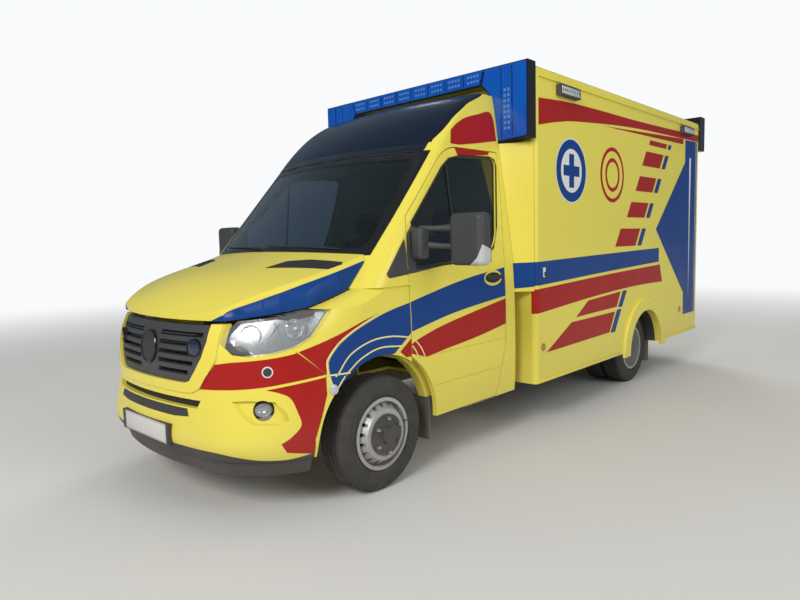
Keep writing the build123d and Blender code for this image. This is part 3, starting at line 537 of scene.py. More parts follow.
# Near-black rubber with brown road dust in patches
def makeTyreRubber():
    material, tree, shader = newMaterial("tyreRubber", roughness=0.8)
    patches = addTexture(tree, "Noise", Scale=9.0, Detail=8.0, Roughness=0.65)
    fine = addTexture(tree, "Noise", Scale=180.0, Detail=4.0)
    worn = mathNode(tree, "MULTIPLY", patches.outputs["Fac"], fine.outputs["Fac"])
    amount = mathNode(tree, "MULTIPLY", worn, 1.9, clamp=True)
    rubber = (0.020, 0.020, 0.021)
    dusty = (0.090, 0.080, 0.068)
    dress(tree, shader, amount, rubber, dusty, (roughCast, 300.0, 0.5), (12.0, 0.68, 0.92))
    return material


# Tinted glass with a light uneven haze of dust
def makeGlass(name, tint, haze):
    material, tree, shader = newMaterial(name, roughness=0.02, transmission=1.0, ior=1.45)
    drift = addTexture(tree, "Noise", Scale=2.0, Detail=3.0)
    darker = tuple(0.9 * c for c in tint)
    dress(tree, shader, drift.outputs["Fac"], tint, darker, gloss=(6.0, *haze))
    return material


# Moulded coloured lamp cover: partly see-through, with a fine moulded pattern
def makeLensPlastic(name, colour, alpha, bumpScale):
    material, tree, shader = newMaterial(name, roughness=0.08, coat=1.0, coatRoughness=0.03)
    drift = addTexture(tree, "Noise", Scale=5.0, Detail=2.0)
    deeper = tuple(0.75 * c for c in colour)
    dress(tree, shader, drift.outputs["Fac"], colour, deeper, (paintPeel, bumpScale, 0.08))
    shader.inputs["Alpha"].default_value = alpha
    return material


# A fine crossed weave in near black
def makeSeatCloth():
    material, tree, shader = newMaterial("seatCloth", roughness=0.9)
    shader.inputs["Sheen Weight"].default_value = 0.3
    weaves = [addTexture(tree, "Wave", Scale=170.0, Distortion=0.6, bands_direction=way) for way in ("X", "Z")]
    weave = mathNode(tree, "MULTIPLY", weaves[0].outputs["Fac"], weaves[1].outputs["Fac"])
    dress(tree, shader, weave, (0.020, 0.021, 0.024), (0.060, 0.062, 0.068))
    bump = addNode(tree, "ShaderNodeBump", {"Height": weave}, Strength=0.4, Distance=0.0008)
    tree.links.new(bump.outputs["Normal"], shader.inputs["Normal"])
    return material


tyreRubber = makeTyreRubber()
windowGlass = makeGlass("windowGlass", (0.15, 0.20, 0.25), (0.01, 0.05))
darkGlass = makeGlass("darkGlass", (0.05, 0.06, 0.065), (0.01, 0.05))
amberCover = makeLensPlastic("amberCover", (0.55, 0.20, 0.02), 1.0, 220.0)
redCover = makeLensPlastic("redCover", (0.45, 0.008, 0.006), 1.0, 220.0)
paleCover = makeLensPlastic("paleCover", (0.62, 0.63, 0.62), 1.0, 220.0)
seatCloth = makeSeatCloth()
clearLens = makeLensPlastic("clearLens", (0.80, 0.84, 0.88), 0.16, 160.0)
bluePale = makeLensPlastic("bluePale", (0.10, 0.26, 0.72), 1.0, 160.0)
blueDark = makeLensPlastic("blueDark", (0.006, 0.020, 0.060), 1.0, 160.0)


# A ribbed blue lens with painted shade between its ribs and a painted highlight on their crests, darker and lighter in
# broad noise patches
def makeRibbedBlue():
    material, tree, shader = newMaterial("ribbedBlue", roughness=0.16, coat=0.3, coatRoughness=0.05, specular=0.3)
    ribs = addTexture(tree, "Wave", Scale=22.0, Distortion=0.0, bands_direction="X")
    depth = addTexture(tree, "Noise", Scale=5.0, Detail=3.0)
    # The ribs' wave sets both the bump and the colour: painted highlight on the crests, painted shade in the grooves
    shade = mathNode(tree, "MULTIPLY", ribs.outputs["Fac"], depth.outputs["Fac"])
    dress(tree, shader, shade, (0.001, 0.060, 0.38), (0.004, 0.190, 0.86))
    bump = addNode(tree, "ShaderNodeBump", {"Height": ribs.outputs["Fac"]}, Strength=0.25, Distance=0.0015)
    tree.links.new(bump.outputs["Normal"], shader.inputs["Normal"])
    return material


ribbedBlue = makeRibbedBlue()


# A woven screen behind the grille's openings, near black as painted shade: dark cells of painted shade between slightly
# lighter threads
def makeGrilleShadeScreen():
    material, tree, shader = newMaterial("grilleShadeScreen", roughness=0.7)
    cells = addTexture(tree, "Voronoi", Scale=90.0)
    dress(tree, shader, cells.outputs["Distance"], (0.003, 0.003, 0.003), (0.030, 0.030, 0.032))
    return material


grilleShadeScreen = makeGrilleShadeScreen()
print("materials", len(bpy.data.materials))


# Materials of the CAD nodes that stay

finishes = {
    paint["cabYellow"]: ["cab_shell", "front_wings", "bonnet", "front_bumper", "cab_door_left", "cab_door_right",
                         "roof_fairing", "gap_panels"],
    paint["boxYellow"]: ["box_side_left", "box_side_right", "box_front_wall", "box_roof", "rear_frame",
                         "rear_door_left", "rear_door_right", "side_door", "arch_flares"],
    windowGlass: ["windscreen", "door_glass_left", "door_glass_right"],
    darkGlass: ["side_glass", "rear_glass_left", "rear_glass_right"],
    metal["wheelSilver"]: ["front_rim_left", "front_rim_right", "rear_rims_left", "rear_rims_right"],
    metal["hubGrey"]: ["front_hub_left", "front_hub_right"],
    metal["chassisBlack"]: ["chassis_frame", "cross_members", "front_suspension", "leaf_springs", "rear_axle"],
    metal["castIron"]: ["engine_block", "gearbox", "knuckle_left", "knuckle_right"],
    metal["exhaustSteel"]: ["exhaust"],
    metal["stepAlloy"]: ["rear_step"],
    plastic["greyPlastic"]: ["grille", "mirror_left", "mirror_right", "scene_lamps"],
    plastic["blackPlastic"]: ["bumper_lip", "wheel_liners", "fuel_tank"],
    plastic["flapRubber"]: ["mud_flaps"],
    plastic["glossBlack"]: ["lamp_frames"],
    plastic["trimPlastic"]: ["dashboard", "steering_wheel"],
    plastic["floorVinyl"]: ["box_floor"],
    redCover: ["rear_lamps"],
    ribbedBlue: ["blue_lenses"],
}
for material, names in finishes.items():
    for name in names:
        mesh = nodes[name].data
        for i in range(len(mesh.materials)):
            mesh.materials[i] = material

# Films: stripes, patches and plain discs. An outline is (y, z) for a film seen along x,
# (x, z) along y and (x, y) along z.

cabStripes = {
    "doorBlue": [[(1.426, 1.318), (1.291, 1.291), (0.95, 1.253), (0.666, 1.209), (0.40, 1.158)],
                 [(0.257, 1.128)], [(0.257, 0.943), (0.65, 1.013), (1.05, 1.058)], [(1.426, 1.092)]],
    "wingBlue": [[(0.251, 1.126), (0.10, 1.100), (-0.028, 1.070), (-0.204, 1.012), (-0.29, 0.970), (-0.347, 0.930),
                  (-0.398, 0.872), (-0.408, 0.831), (-0.400, 0.770)],
                 [(-0.374, 0.675), (-0.372, 0.622)], [(-0.10, 0.80)], [(0.099, 0.832)], [(0.251, 0.938)]],
    "doorRed": [[(1.426, 1.078), (1.10, 1.032), (0.803, 0.987), (0.55, 0.945), (0.358, 0.900), (0.26, 0.868)],
                [(0.183, 0.827), (0.30, 0.79)], [(0.40, 0.763), (0.58, 0.786), (0.96, 0.825)], [(1.426, 0.893)]],
    "wingRed": [[(-0.56, 0.927), (-0.342, 0.996), (-0.202, 1.042), (-0.10, 1.070)],
                [(-0.028, 1.085), (-0.16, 1.036), (-0.25, 0.999), (-0.33, 0.948), (-0.395, 0.889), (-0.418, 0.829)],
                [(-0.425, 0.787)]],
    "wingRedRear": corners((0.251, 0.904), (0.144, 0.832), (0.20, 0.79), (0.251, 0.79)),
    "bonnetBlue": [[(-0.90, 1.00), (-0.856, 1.083), (-0.843, 1.103), (-0.824, 1.132), (-0.792, 1.158),
                    (-0.684, 1.197), (-0.568, 1.240), (-0.425, 1.284), (-0.218, 1.337)],
                   [(0.03, 1.402)], [(0.03, 1.0)]],
    "patch": [[(0.859, 2.262), (0.94, 2.317), (1.04, 2.365), (1.20, 2.41), (1.373, 2.438)], [(1.406, 2.237)],
              [(1.123, 2.191), (0.866, 2.160)], [(0.847, 2.204)]],
    "patchLow": corners((0.873, 2.15), (0.906, 2.084), (1.272, 2.12), (1.302, 2.15)),
    "gapBand": corners((1.42, 1.122), (1.57, 1.136), (1.57, 1.322), (1.42, 1.316)),
}
stripe = {label: ringOf(runs) for label, runs in cabStripes.items()}
# Places on the bumper's corner, as (x, y, z)
bumperRed = ringOf([cornerRing(run) for run in (
    [(0.494, -0.923, 0.734), (0.53, -0.905, 0.80)],
    [(0.581, -0.875, 0.873), (0.66, -0.825, 0.885), (0.751, -0.759, 0.892), (0.84, -0.65, 0.905)],
    [(0.907, -0.549, 0.925)],
    [(0.968, -0.421, 0.790), (0.90, -0.575, 0.772), (0.816, -0.719, 0.752), (0.70, -0.82, 0.741)])])
bumperRedLow = ringOf([cornerRing(run) for run in (
    [(0.817, -0.719, 0.736), (0.865, -0.665, 0.715), (0.899, -0.622, 0.683), (0.925, -0.600, 0.61),
     (0.938, -0.588, 0.537), (0.915, -0.64, 0.48)],
    [(0.888, -0.685, 0.451)],
    [(0.90, -0.66, 0.40)],
    [(0.954, -0.523, 0.37), (0.975, -0.45, 0.52), (0.982, -0.391, 0.676)],
    [(0.968, -0.412, 0.777), (0.90, -0.575, 0.757)])])
# Narrow pale lines on the wing and on the door
wingLines = [
    [(-0.372, 0.770), (-0.351, 0.785), (-0.262, 0.878), (-0.103, 0.932), (0.066, 0.938), (0.240, 0.910)],
    [(-0.300, 0.770), (-0.278, 0.785), (-0.183, 0.842), (-0.029, 0.882), (0.169, 0.866)],
    [(-0.045, 1.078), (-0.204, 1.022), (-0.296, 0.978), (-0.355, 0.936), (-0.409, 0.874), (-0.418, 0.831),
     (-0.410, 0.765), (-0.384, 0.675), (-0.382, 0.622)],
    [(-0.425, 0.782), (-0.36, 0.780), (-0.27, 0.776)],
    [(-0.308, 0.763), (-0.345, 0.722), (-0.378, 0.680)],
]
doorArcs = [[(0.255, 0.903), (0.30, 0.872), (0.345, 0.822), (0.372, 0.772)],
            [(0.257, 0.855), (0.285, 0.822), (0.305, 0.790)]]
lineWidth = 0.009
cabSpan = (0.60, 1.3)
lift = {
    # how far a film lies over its node's surface
    "colour": 0.0008, "patch": 0.0012, "rearSeal": 0.0015, "line": 0.0016, "bowl": 0.0018, "card": 0.0020,
    "triangle": 0.0022, "seal": 0.0025, "hollow": 0.0026, "lens": 0.0030, "divider": 0.0040,
}


# A film on each side of the vehicle; {} in a name stands for left or right.
# On the nose's corner the span counts outward along the corner's axis.
def sideFilms(name, node, rings, material, body="vehicle", over="colour", span=cabSpan, facing=(1, 0, 0),
              corner=False):
    for label, side in sides.items():
        axis = "x" if not corner else "d" if side > 0 else "e"
        reach = span if corner or side > 0 else (-span[1], -span[0])
        addFilm(f"{name}_{label}", node.format(label), rings, axis, reach, (side * facing[0], *facing[1:]), material,
                body.format(label), lift[over])


def mirrored(ring, side):
    return [Vector((side * p[0], p[1])) for p in ring]


wing, door, bonnet, bumper, fairing = "front_wings", "cab_door_{}", "bonnet", "front_bumper", "roof_fairing"
sideFilms("door_blue", door, [stripe["doorBlue"]], paint["blueFilm"], door)
sideFilms("door_red", door, [stripe["doorRed"]], paint["redFilm"], door)
sideFilms("wing_blue", wing, [stripe["wingBlue"]], paint["blueFilm"])
sideFilms("wing_red", wing, [stripe["wingRed"], stripe["wingRedRear"]], paint["redFilm"])
for i, line in enumerate(wingLines):
    sideFilms(f"wing_line_{i}", wing, [band(line, lineWidth)], paint["palePiping"], over="line")
sideFilms("bonnet_blue", bonnet, [stripe["bonnetBlue"]], paint["blueFilm"], bonnet, span=(0.44, 1.2),
          facing=(0.75, -0.2, 0.6))
sideFilms("bumper_red", bumper, [bumperRed, bumperRedLow], paint["redFilm"], span=(0.4, 1.6), facing=(1, -1, 0),
          corner=True)
print("cab stripes")

# The dark cap over the windscreen, the patch behind it, and the band on the gap panels

capRing = [[(0.30, 2.112), (0.625, 2.112), (0.71, 2.185), (0.814, 2.269), (0.93, 2.365), (1.080, 2.465), (1.30, 2.62)],
           [(0.30, 2.62)]]
headerRing = corners((-0.80, 2.088), (0.80, 2.088), (0.80, 2.19), (-0.80, 2.19))
capCore = (0, 1.35, 1.9)
addFilm("cap_black", fairing, [ringOf(capRing)], "x", (-1.2, 1.2), (0, -1, 0), paint["blackCap"], "vehicle",
        core=capCore)
addFilm("header_black", "cab_shell", [ringOf(headerRing)], "y", (0.3, 0.80), (0, -1, 0.3), paint["blackCap"], "vehicle")
sideFilms("patch", fairing, [stripe["patch"]], paint["redFilm"], over="patch")
sideFilms("patch_low", door, [stripe["patchLow"]], paint["redFilm"], door, over="patch")
sideFilms("gap_band", "gap_panels", [stripe["gapBand"]], paint["blueFilm"], facing=(1, -0.6, 0))
print("cap and patches")

# Box stripes

boxStripes = {
    "topRed": [[(1.60, 2.544), (2.079, 2.574), (2.683, 2.586), (3.405, 2.592), (4.282, 2.612)], [(5.185, 2.640)],
               [(5.185, 2.565), (3.407, 2.520), (2.269, 2.445), (1.898, 2.400)], [(1.60, 2.345)]],
    "thinRed": corners((2.693, 2.462), (4.70, 2.552), (4.70, 2.492)),
    "midBlue": [[(1.60, 1.322), (2.8, 1.345)], [(4.02, 1.367)], [(4.02, 1.223), (2.8, 1.185)], [(1.60, 1.140)]],
    "midRed": [[(1.60, 1.113), (2.8, 1.158)], [(4.05, 1.193)],
               [(4.12, 1.010), (3.60, 1.013), (3.08, 1.003), (2.40, 0.974)], [(1.60, 0.926)]],
    "lowRedA": corners((2.417, 0.954), (3.079, 0.982), (2.993, 0.845), (2.194, 0.832)),
    "lowRedB": corners((2.115, 0.798), (2.960, 0.804), (2.842, 0.622), (1.706, 0.606)),
    "lowBlueA": corners((3.129, 0.985), (3.221, 0.984), (3.115, 0.836), (3.022, 0.838)),
    "lowBlueB": corners((3.003, 0.817), (3.100, 0.816), (2.962, 0.613), (2.862, 0.615)),
    "rearBand": corners((4.765, 2.546), (5.150, 2.558), (5.150, 0.590), (4.765, 0.590)),
    "arrow": corners((3.93, 1.560), (4.765, 2.300), (4.765, 0.840)),
    "taper": corners((4.90, 2.36), (4.955, 2.36), (4.93, 0.72)),
    "rearLine": corners((5.108, 2.556), (5.117, 2.5565), (5.117, 0.590), (5.108, 0.590)),
}
# One row a block: front edge at the top, width, top z, height, then the gap and width of the slash behind it
rowBlocks = [
    (3.757, 0.454, 2.445, 0.050, 0.045, 0.086),
    (3.658, 0.457, 2.327, 0.145, 0.050, 0.096),
    (3.504, 0.423, 2.077, 0.147, 0.040, 0.100),
    (3.307, 0.422, 1.822, 0.147, 0.040, 0.096),
    (3.069, 0.459, 1.569, 0.166, 0.044, 0.098),
]
blockSlant = 0.70    # how far an edge moves forward for each metre down
crossDisc = (2.115, 2.037)
crossRadii = {"edge": 0.262, "blue": 0.250, "white": 0.175, "reach": 0.135, "half": 0.042}
ringDisc = (2.885, 2.050)
ringRadii = (0.245, 0.210, 0.150, 0.115)
filmX = 1.1008
sideDoorSpan = (1.736, 2.494)
sideDoorGap = 0.006


def slantBlock(y, width, z, height):
    shift = blockSlant * height
    return [Vector(p) for p in ((y, z), (y + width, z), (y + width - shift, z - height), (y - shift, z - height))]


def plus(y, z, reach, half):
    steps = [(half, reach), (half, half), (reach, half), (reach, -half), (half, -half), (half, -reach),
             (-half, -reach), (-half, -half), (-reach, -half), (-reach, half), (-half, half), (-half, reach)]
    return [Vector((y + a, z + b)) for a, b in steps]


# The part of a ring between two y values
def clipRing(ring, low, high):
    for limit, way in ((low, 1), (high, -1)):
        out = []
        for i, p in enumerate(ring):
            q = ring[(i + 1) % len(ring)]
            keepP, keepQ = way * (p.x - limit) >= 0, way * (q.x - limit) >= 0
            if keepP:
                out.append(p)
            if keepP != keepQ:
                out.append(p.lerp(q, (limit - p.x) / (q.x - p.x)))
        ring = out
        if len(ring) < 3:
            return []
    return ring


boxRing = {label: ringOf(runs) for label, runs in boxStripes.items()}
blueRings = [boxRing[k] for k in ("midBlue", "lowBlueA", "lowBlueB", "rearBand", "arrow")]
redRings = [boxRing[k] for k in ("topRed", "thinRed", "midRed", "lowRedA", "lowRedB")]
for y, width, z, height, gap, slash in rowBlocks:
    redRings.append(slantBlock(y, width, z, height))
    blueRings.append(slantBlock(y + width + gap, slash, z, height))
layers = [
    # colour, rings, how far over the side
    ("redFilm", redRings, 0.0),
    ("blueFilm", blueRings, 0.0002),
    ("whiteFilm", [disc(*crossDisc, crossRadii["edge"])], 0.0002),
    ("blueFilm", [disc(*crossDisc, crossRadii["blue"])], 0.0004),
    ("whiteFilm", [boxRing["taper"], boxRing["rearLine"]], 0.0004),
    ("whiteFilm", [disc(*crossDisc, crossRadii["white"])], 0.0006),
    ("blueFilm", [plus(*crossDisc, crossRadii["reach"], crossRadii["half"])], 0.0008),
]
for i, r in enumerate(ringRadii):
    layers.append(("boxYellow" if i % 2 else "redFilm", [disc(*ringDisc, r)], 0.0002 * (i + 1)))
for label, side in sides.items():
    for i, (colour, rings, over) in enumerate(layers):
        pieces = {"vehicle": rings}
        if side < 0:
            front, rear = sideDoorSpan
            fixed = [clipRing(r, -9, front - sideDoorGap) for r in rings]
            fixed += [clipRing(r, rear + sideDoorGap, 9) for r in rings]
            pieces = {"vehicle": fixed, "side_door": [clipRing(r, front, rear) for r in rings]}
        for body, ringSet in pieces.items():
            kept = [r for r in ringSet if r]
            if kept:
                addFlatFilm(f"box_film_{label}_{i}_{body}", kept, side * (filmX + over), paint[colour], body)
print("box stripes")

# Tyres: ribs with sipes, parted by plain grooves, over a rounded side

axleHeight = 0.352
tyreLook = {
    "segments": 324, "pitch": 6, "groove": 0.0075, "grooveSlope": 0.0012, "sipe": 0.0050,
    "crown": 0.3518, "shoulder": 0.045, "shoulderWidth": 0.0315, "shoulderDrop": 0.0068,
    "ribs": [(-0.0765, -0.0570), (-0.0500, -0.0235), (-0.0165, 0.0165), (0.0235, 0.0500), (0.0570, 0.0765)],
    "middleRib": 2, "steps": 4,
    # half width, radius: from the shoulder over the side to the bead
    "side": [(0.0810, 0.3405), (0.0875, 0.3330), (0.0915, 0.3235), (0.0905, 0.3215), (0.0985, 0.3010),
             (0.1020, 0.2800), (0.1005, 0.2755), (0.1022, 0.2700), (0.1000, 0.2440), (0.0985, 0.2360),
             (0.0930, 0.2300), (0.0865, 0.2255), (0.0845, 0.2060)],
}


# Columns across the tread: place, the rib it belongs to or None in a groove, and its number in the rib
def treadColumns():
    columns = []
    ribs, steps, slope = tyreLook["ribs"], tyreLook["steps"], tyreLook["grooveSlope"]
    for number, (low, high) in enumerate(ribs):
        columns += [(low + (high - low) * k / steps, number, k) for k in range(steps + 1)]
        if number + 1 < len(ribs):
            columns += [(high + slope, None, 0), (ribs[number + 1][0] - slope, None, 0)]
    return columns


# Sipes are lines of lower places that lean across each rib
def treadRadius(seg, w, rib, step):
    past = max(0.0, abs(w) - tyreLook["shoulder"])
    radius = tyreLook["crown"] - tyreLook["shoulderDrop"] * (past / tyreLook["shoulderWidth"]) ** 2
    if rib is None:
        return radius - tyreLook["groove"]
    if rib == tyreLook["middleRib"]:
        cut = (seg + 2 * abs(step - 2)) % (2 * tyreLook["pitch"]) == 0
    else:
        cut = step > 0 and (seg + step + 3 * rib) % tyreLook["pitch"] == 0
    return radius - (tyreLook["sipe"] if cut else 0)


def tyreMesh(bm, centreX, y):
    count = tyreLook["segments"]
    columns = treadColumns()
    side = tyreLook["side"]
    grid = []
    for seg in range(count):
        angle = 2 * math.pi * seg / count
        profile = [(-w, r) for w, r in reversed(side)]
        profile += [(w, treadRadius(seg, w, rib, step)) for w, rib, step in columns]
        profile += side
        acrossY, acrossZ = math.cos(angle), math.sin(angle)
        grid.append([bm.verts.new((centreX + w, y + axleY + r * acrossY, tyreLow.z + axleHeight + r * acrossZ))
                     for w, r in profile])
    for seg in range(count):
        a, b = grid[seg], grid[(seg + 1) % count]
        for k in range(len(a) - 1):
            bm.faces.new((a[k], b[k], b[k + 1], a[k + 1]))
        bm.faces.new((a[-1], b[-1], b[0], a[0]))


twinWidth = 0.205
tyreSets = {
    # piece: body, node, centres along the axle, y
    "tyre_front": ("front_wheel", "front_tyre", [(tyreLow.x + tyreHigh.x) / 2], 0),
    "tyres_rear": ("rear_wheels", "rear_tyres",
                   [rearTyreLow.x + twinWidth / 2, rearTyreHigh.x - twinWidth / 2], rearAxleY),
}
for label, side in sides.items():
    for piece, (body, node, centres, y) in tyreSets.items():
        bm = bmesh.new()
        for centre in centres:
            tyreMesh(bm, side * centre, y)
        tyre = addBmesh(f"{piece}_{label}", bm, tyreRubber, f"{body}_{label}", smooth=32)
        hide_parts(f"{node}_{label}")
print("tyres")

# Wheel nuts on their studs, and valves

nutLook = {"circle": 0.1025, "count": 6, "radius": 0.0125, "length": 0.022, "chamfer": 0.8,
           "stud": 0.006, "studFrom": 0.9, "studPast": 0.006}
nutR, nutTop = nutLook["radius"], nutLook["length"]
studTop = nutTop + nutLook["studPast"]
nutProfile = [(0, 0), (nutR, 0), (nutR, nutTop * nutLook["chamfer"]), (nutR * nutLook["chamfer"], nutTop), (0, nutTop)]
studProfile = [(nutLook["stud"], nutTop * nutLook["studFrom"]), (nutLook["stud"], studTop), (0, studTop)]
valveLook = {"back": 0.02, "up": (0.150, 0.05), "bends": [(0.03, 0.012, 0.004), (0.042, 0.024, 0.008)],
             "radii": [0.005, 0.0045, 0.004]}
# Place along the axle of the nuts' seat, and y
wheelFaces = {"front_wheel": (1.003, 0.0), "rear_wheels": (0.7955, rearAxleY)}

for prefix, (seat, y) in wheelFaces.items():
    for label, side in sides.items():
        bm = bmesh.new()
        for k in range(nutLook["count"]):
            angle = 2 * math.pi * (k + 0.5) / nutLook["count"]
            spot = (side * seat, y + axleY + nutLook["circle"] * math.cos(angle),
                    axleHeight + nutLook["circle"] * math.sin(angle))
            addTurned(bm, nutProfile, spot, (side, 0, 0), count=6)
            addTurned(bm, studProfile, spot, (side, 0, 0), count=12)
        addBmesh(f"nuts_{prefix}_{label}", bm, metal["brightSteel"], f"{prefix}_{label}", smooth=30)
        bm = bmesh.new()
        start = Vector((side * (seat - valveLook["back"]), y + axleY + valveLook["up"][0],
                        axleHeight + valveLook["up"][1]))
        line = [start] + [start + Vector((side * p[0], p[1], p[2])) for p in valveLook["bends"]]
        addTube(bm, line, valveLook["radii"], count=10)
        addBmesh(f"valve_{prefix}_{label}", bm, plastic["sealRubber"], f"{prefix}_{label}")
print("wheel fittings")

# Things that sit on a node's surface

beside, inFront = 1.5, -1.3    # rays start this far out at the side and at the nose


# A ray finds the place and the way that the surface faces
def spotOn(node, start, way):
    origin = sidePoint(start)
    way = Vector(way).normalized()
    spot, normal, _, _ = treeOf(node).ray_cast(origin, way)
    if spot is None:
        print("no surface under", node, start)
        return origin, -way
    return spot, -normal if normal.dot(way) > 0 else normal


def addRound(name, node, start, way, profile, material, count=32, facing=None):
    bm = bmesh.new()
    spot, normal = spotOn(node, start, way)
    addTurned(bm, profile, spot, facing or normal, count=count)
    return addBmesh(name, bm, material, "vehicle")


# The part of a node's skin that faces away from a core, as a bmesh moved inward by depth
def outerSkin(node, core, keep, depth):
    bm = nodeMesh(node)
    heart = sidePoint(core)
    off = []
    for f in bm.faces:
        spot = f.calc_center_median()
        if f.normal.dot((spot - heart).normalized()) < lookingOut["skin"] or not keep(spot):
            off.append(f)
    bmesh.ops.delete(bm, geom=off, context="FACES")
    bm.normal_update()
    for v in bm.verts:
        v.co -= v.normal * depth
    return bm


# Headlamps: a clear cover, a grey bowl, reflectors, bulbs and dividers behind it

lampLook = {
    "core": (0.35, -0.20, 1.0), "bowlDepth": 0.052, "lowest": 0.85, "divider": 0.0035, "dividerShift": 0.022,
    # centre, radius, depth of each round reflector, and the way it faces
    "reflectors": [((0.868, -0.565, 1.050), 0.047, 0.040, (0.55, -0.83, 0.05)),
                   ((0.700, -0.735, 1.020), 0.052, 0.045, (0.50, -0.86, 0.0))],
    "bulb": [(0.009, -0.02), (0.009, 0.012), (0.006, 0.017), (0, 0.018)],
    "dividers": [((0.765, -0.700, 0.950), (0.812, -0.625, 1.085)), ((0.835, -0.625, 0.955), (0.800, -0.640, 1.085)),
                 ((0.905, -0.505, 1.010), (0.915, -0.470, 1.110))],
}


def reflectorProfile(r, depth, steps=9):
    bowl = [(r * (1 - k / steps), -depth * (1 - (1 - k / steps) ** 2)) for k in range(steps)]
    return [(r + 0.006, -0.006), (r + 0.006, 0.004), (r + 0.002, 0.004)] + bowl + [(0, -depth)]


lampRounds = [
    # piece, how far behind the cover, profile, material, count around
    ("lamp_reflectors", 0.028, reflectorProfile, metal["chromeFacet"], 40),
    ("lamp_bulbs", 0.05, lambda r, depth: lampLook["bulb"], plastic["plateWhite"], 16),
]
for label, side in sides.items():
    core = (side * lampLook["core"][0], *lampLook["core"][1:])
    onSide = lambda spot, side=side: spot.x * side > 0 and spot.z > lampLook["lowest"]
    cover = addBmesh(f"lamp_cover_{label}", outerSkin("front_lamps", core, onSide, 0.0), clearLens, "vehicle")
    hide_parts("front_lamps")
    addBmesh(f"lamp_bowl_{label}", outerSkin("front_lamps", core, onSide, lampLook["bowlDepth"]), metal["lampFoil"],
             "vehicle")
    for piece, behind, profileOf, material, count in lampRounds:
        bm = bmesh.new()
        for centre, r, depth, way in lampLook["reflectors"]:
            facing = Vector((side * way[0], way[1], way[2]))
            addTurned(bm, profileOf(r, depth), sidePoint(centre, side) - facing * behind, facing, count=count)
        addBmesh(f"{piece}_{label}", bm, material, "vehicle")
    bm = bmesh.new()
    shift = Vector((side * -lampLook["dividerShift"], lampLook["dividerShift"], 0))
    for pair in lampLook["dividers"]:
        addTube(bm, [sidePoint(p, side) + shift for p in pair], lampLook["divider"], count=8)
    addBmesh(f"lamp_dividers_{label}", bm, metal["brightSteel"], "vehicle")
print("headlamps")

# Fog lamps in their pockets, a little flattened

fogLook = {"spot": (0.806, -0.737, 0.627), "way": (0.6157, -0.788, 0.0), "r": 0.046, "flat": 0.80, "bowlBack": 0.010}
fogR = fogLook["r"]
fogRounds = [
    # piece, how far behind the spot, profile, material
    ("fog_bezel", 0, [(fogR, -0.030), (fogR, -0.002), (fogR - 0.002, 0.0), (fogR - 0.005, -0.003),
                      (fogR - 0.005, -0.012)], plastic["lampGrey"]),
    ("fog_bowl", fogLook["bowlBack"], reflectorProfile(fogR - 0.011, 0.018), metal["lampFoil"]),
    ("fog_lens", 0, [(fogR - 0.005, -0.004), (fogR * 0.6, -0.001), (fogR * 0.3, 0.0), (0, 0.0)], clearLens),
]
for label, side in sides.items():
    way = Vector((side * fogLook["way"][0], *fogLook["way"][1:]))
    for piece, behind, profile, material in fogRounds:
        bm = bmesh.new()
        centre = sidePoint(fogLook["spot"], side) - way * behind
        addTurned(bm, profile, centre, way)
        for v in bm.verts:
            v.co.z = centre.z + (v.co.z - centre.z) * fogLook["flat"]
        addBmesh(f"{piece}_{label}", bm, material, "vehicle")
print("fog lamps")

# Grille: near-black screens behind the slats as painted shade in the openings, thin bars, and a plain round place

grilleLook = {"bow": 0.26, "barY": -0.935, "barStart": 0.115, "barStep": 0.045, "barPoints": 8, "barRadius": 0.0028,
              "lowestBar": 0.815, "barPitch": 0.052, "bars": 5}
# Half width, low and high z, y in the middle, and how much it bows back
screens = [(0.50, 0.745, 1.065, -0.905, 0.26), (0.50, 0.615, 0.690, -0.950, 0.20)]


def bowedSheet(bm, half, low, high, y, bow, columns=40, rows=2):
    grid = []
    for i in range(columns + 1):
        x = half * (2 * i / columns - 1)
        depth = y + bow * x * x
        grid.append([bm.verts.new((x, depth + axleY, low + (high - low) * k / rows)) for k in range(rows + 1)])
    for a, b in zip(grid, grid[1:]):
        for k in range(rows):
            bm.faces.new((a[k], b[k], b[k + 1], a[k + 1]))


# The screens are near-black sheets of painted shade in the openings behind the grille and the bumper
bm = bmesh.new()
for screen in screens:
    bowedSheet(bm, *screen)
addBmesh("grille_shade_screen", bm, grilleShadeScreen, "vehicle", smooth=60)
bm = bmesh.new()
for row in range(grilleLook["bars"]):
    z = grilleLook["lowestBar"] + grilleLook["barPitch"] * row
    for half in (-1, 1):
        places = [grilleLook["barStart"] + grilleLook["barStep"] * k for k in range(grilleLook["barPoints"])]
        line = [(half * x, grilleLook["barY"] + grilleLook["bow"] * x ** 2 + axleY, z) for x in places]
        addTube(bm, line, grilleLook["barRadius"], count=8)
addBmesh("grille_bars", bm, plastic["greyPlastic"], "vehicle")
addRound("badge_plate", "grille", (0, inFront, 0.933), (0, 1, 0),
         [(0.098, -0.01), (0.098, 0.006), (0.094, 0.011), (0.088, 0.011), (0.086, 0.007), (0, 0.007)],
         plastic["glossBlack"], count=48)

# Round things on the nose, on both sides

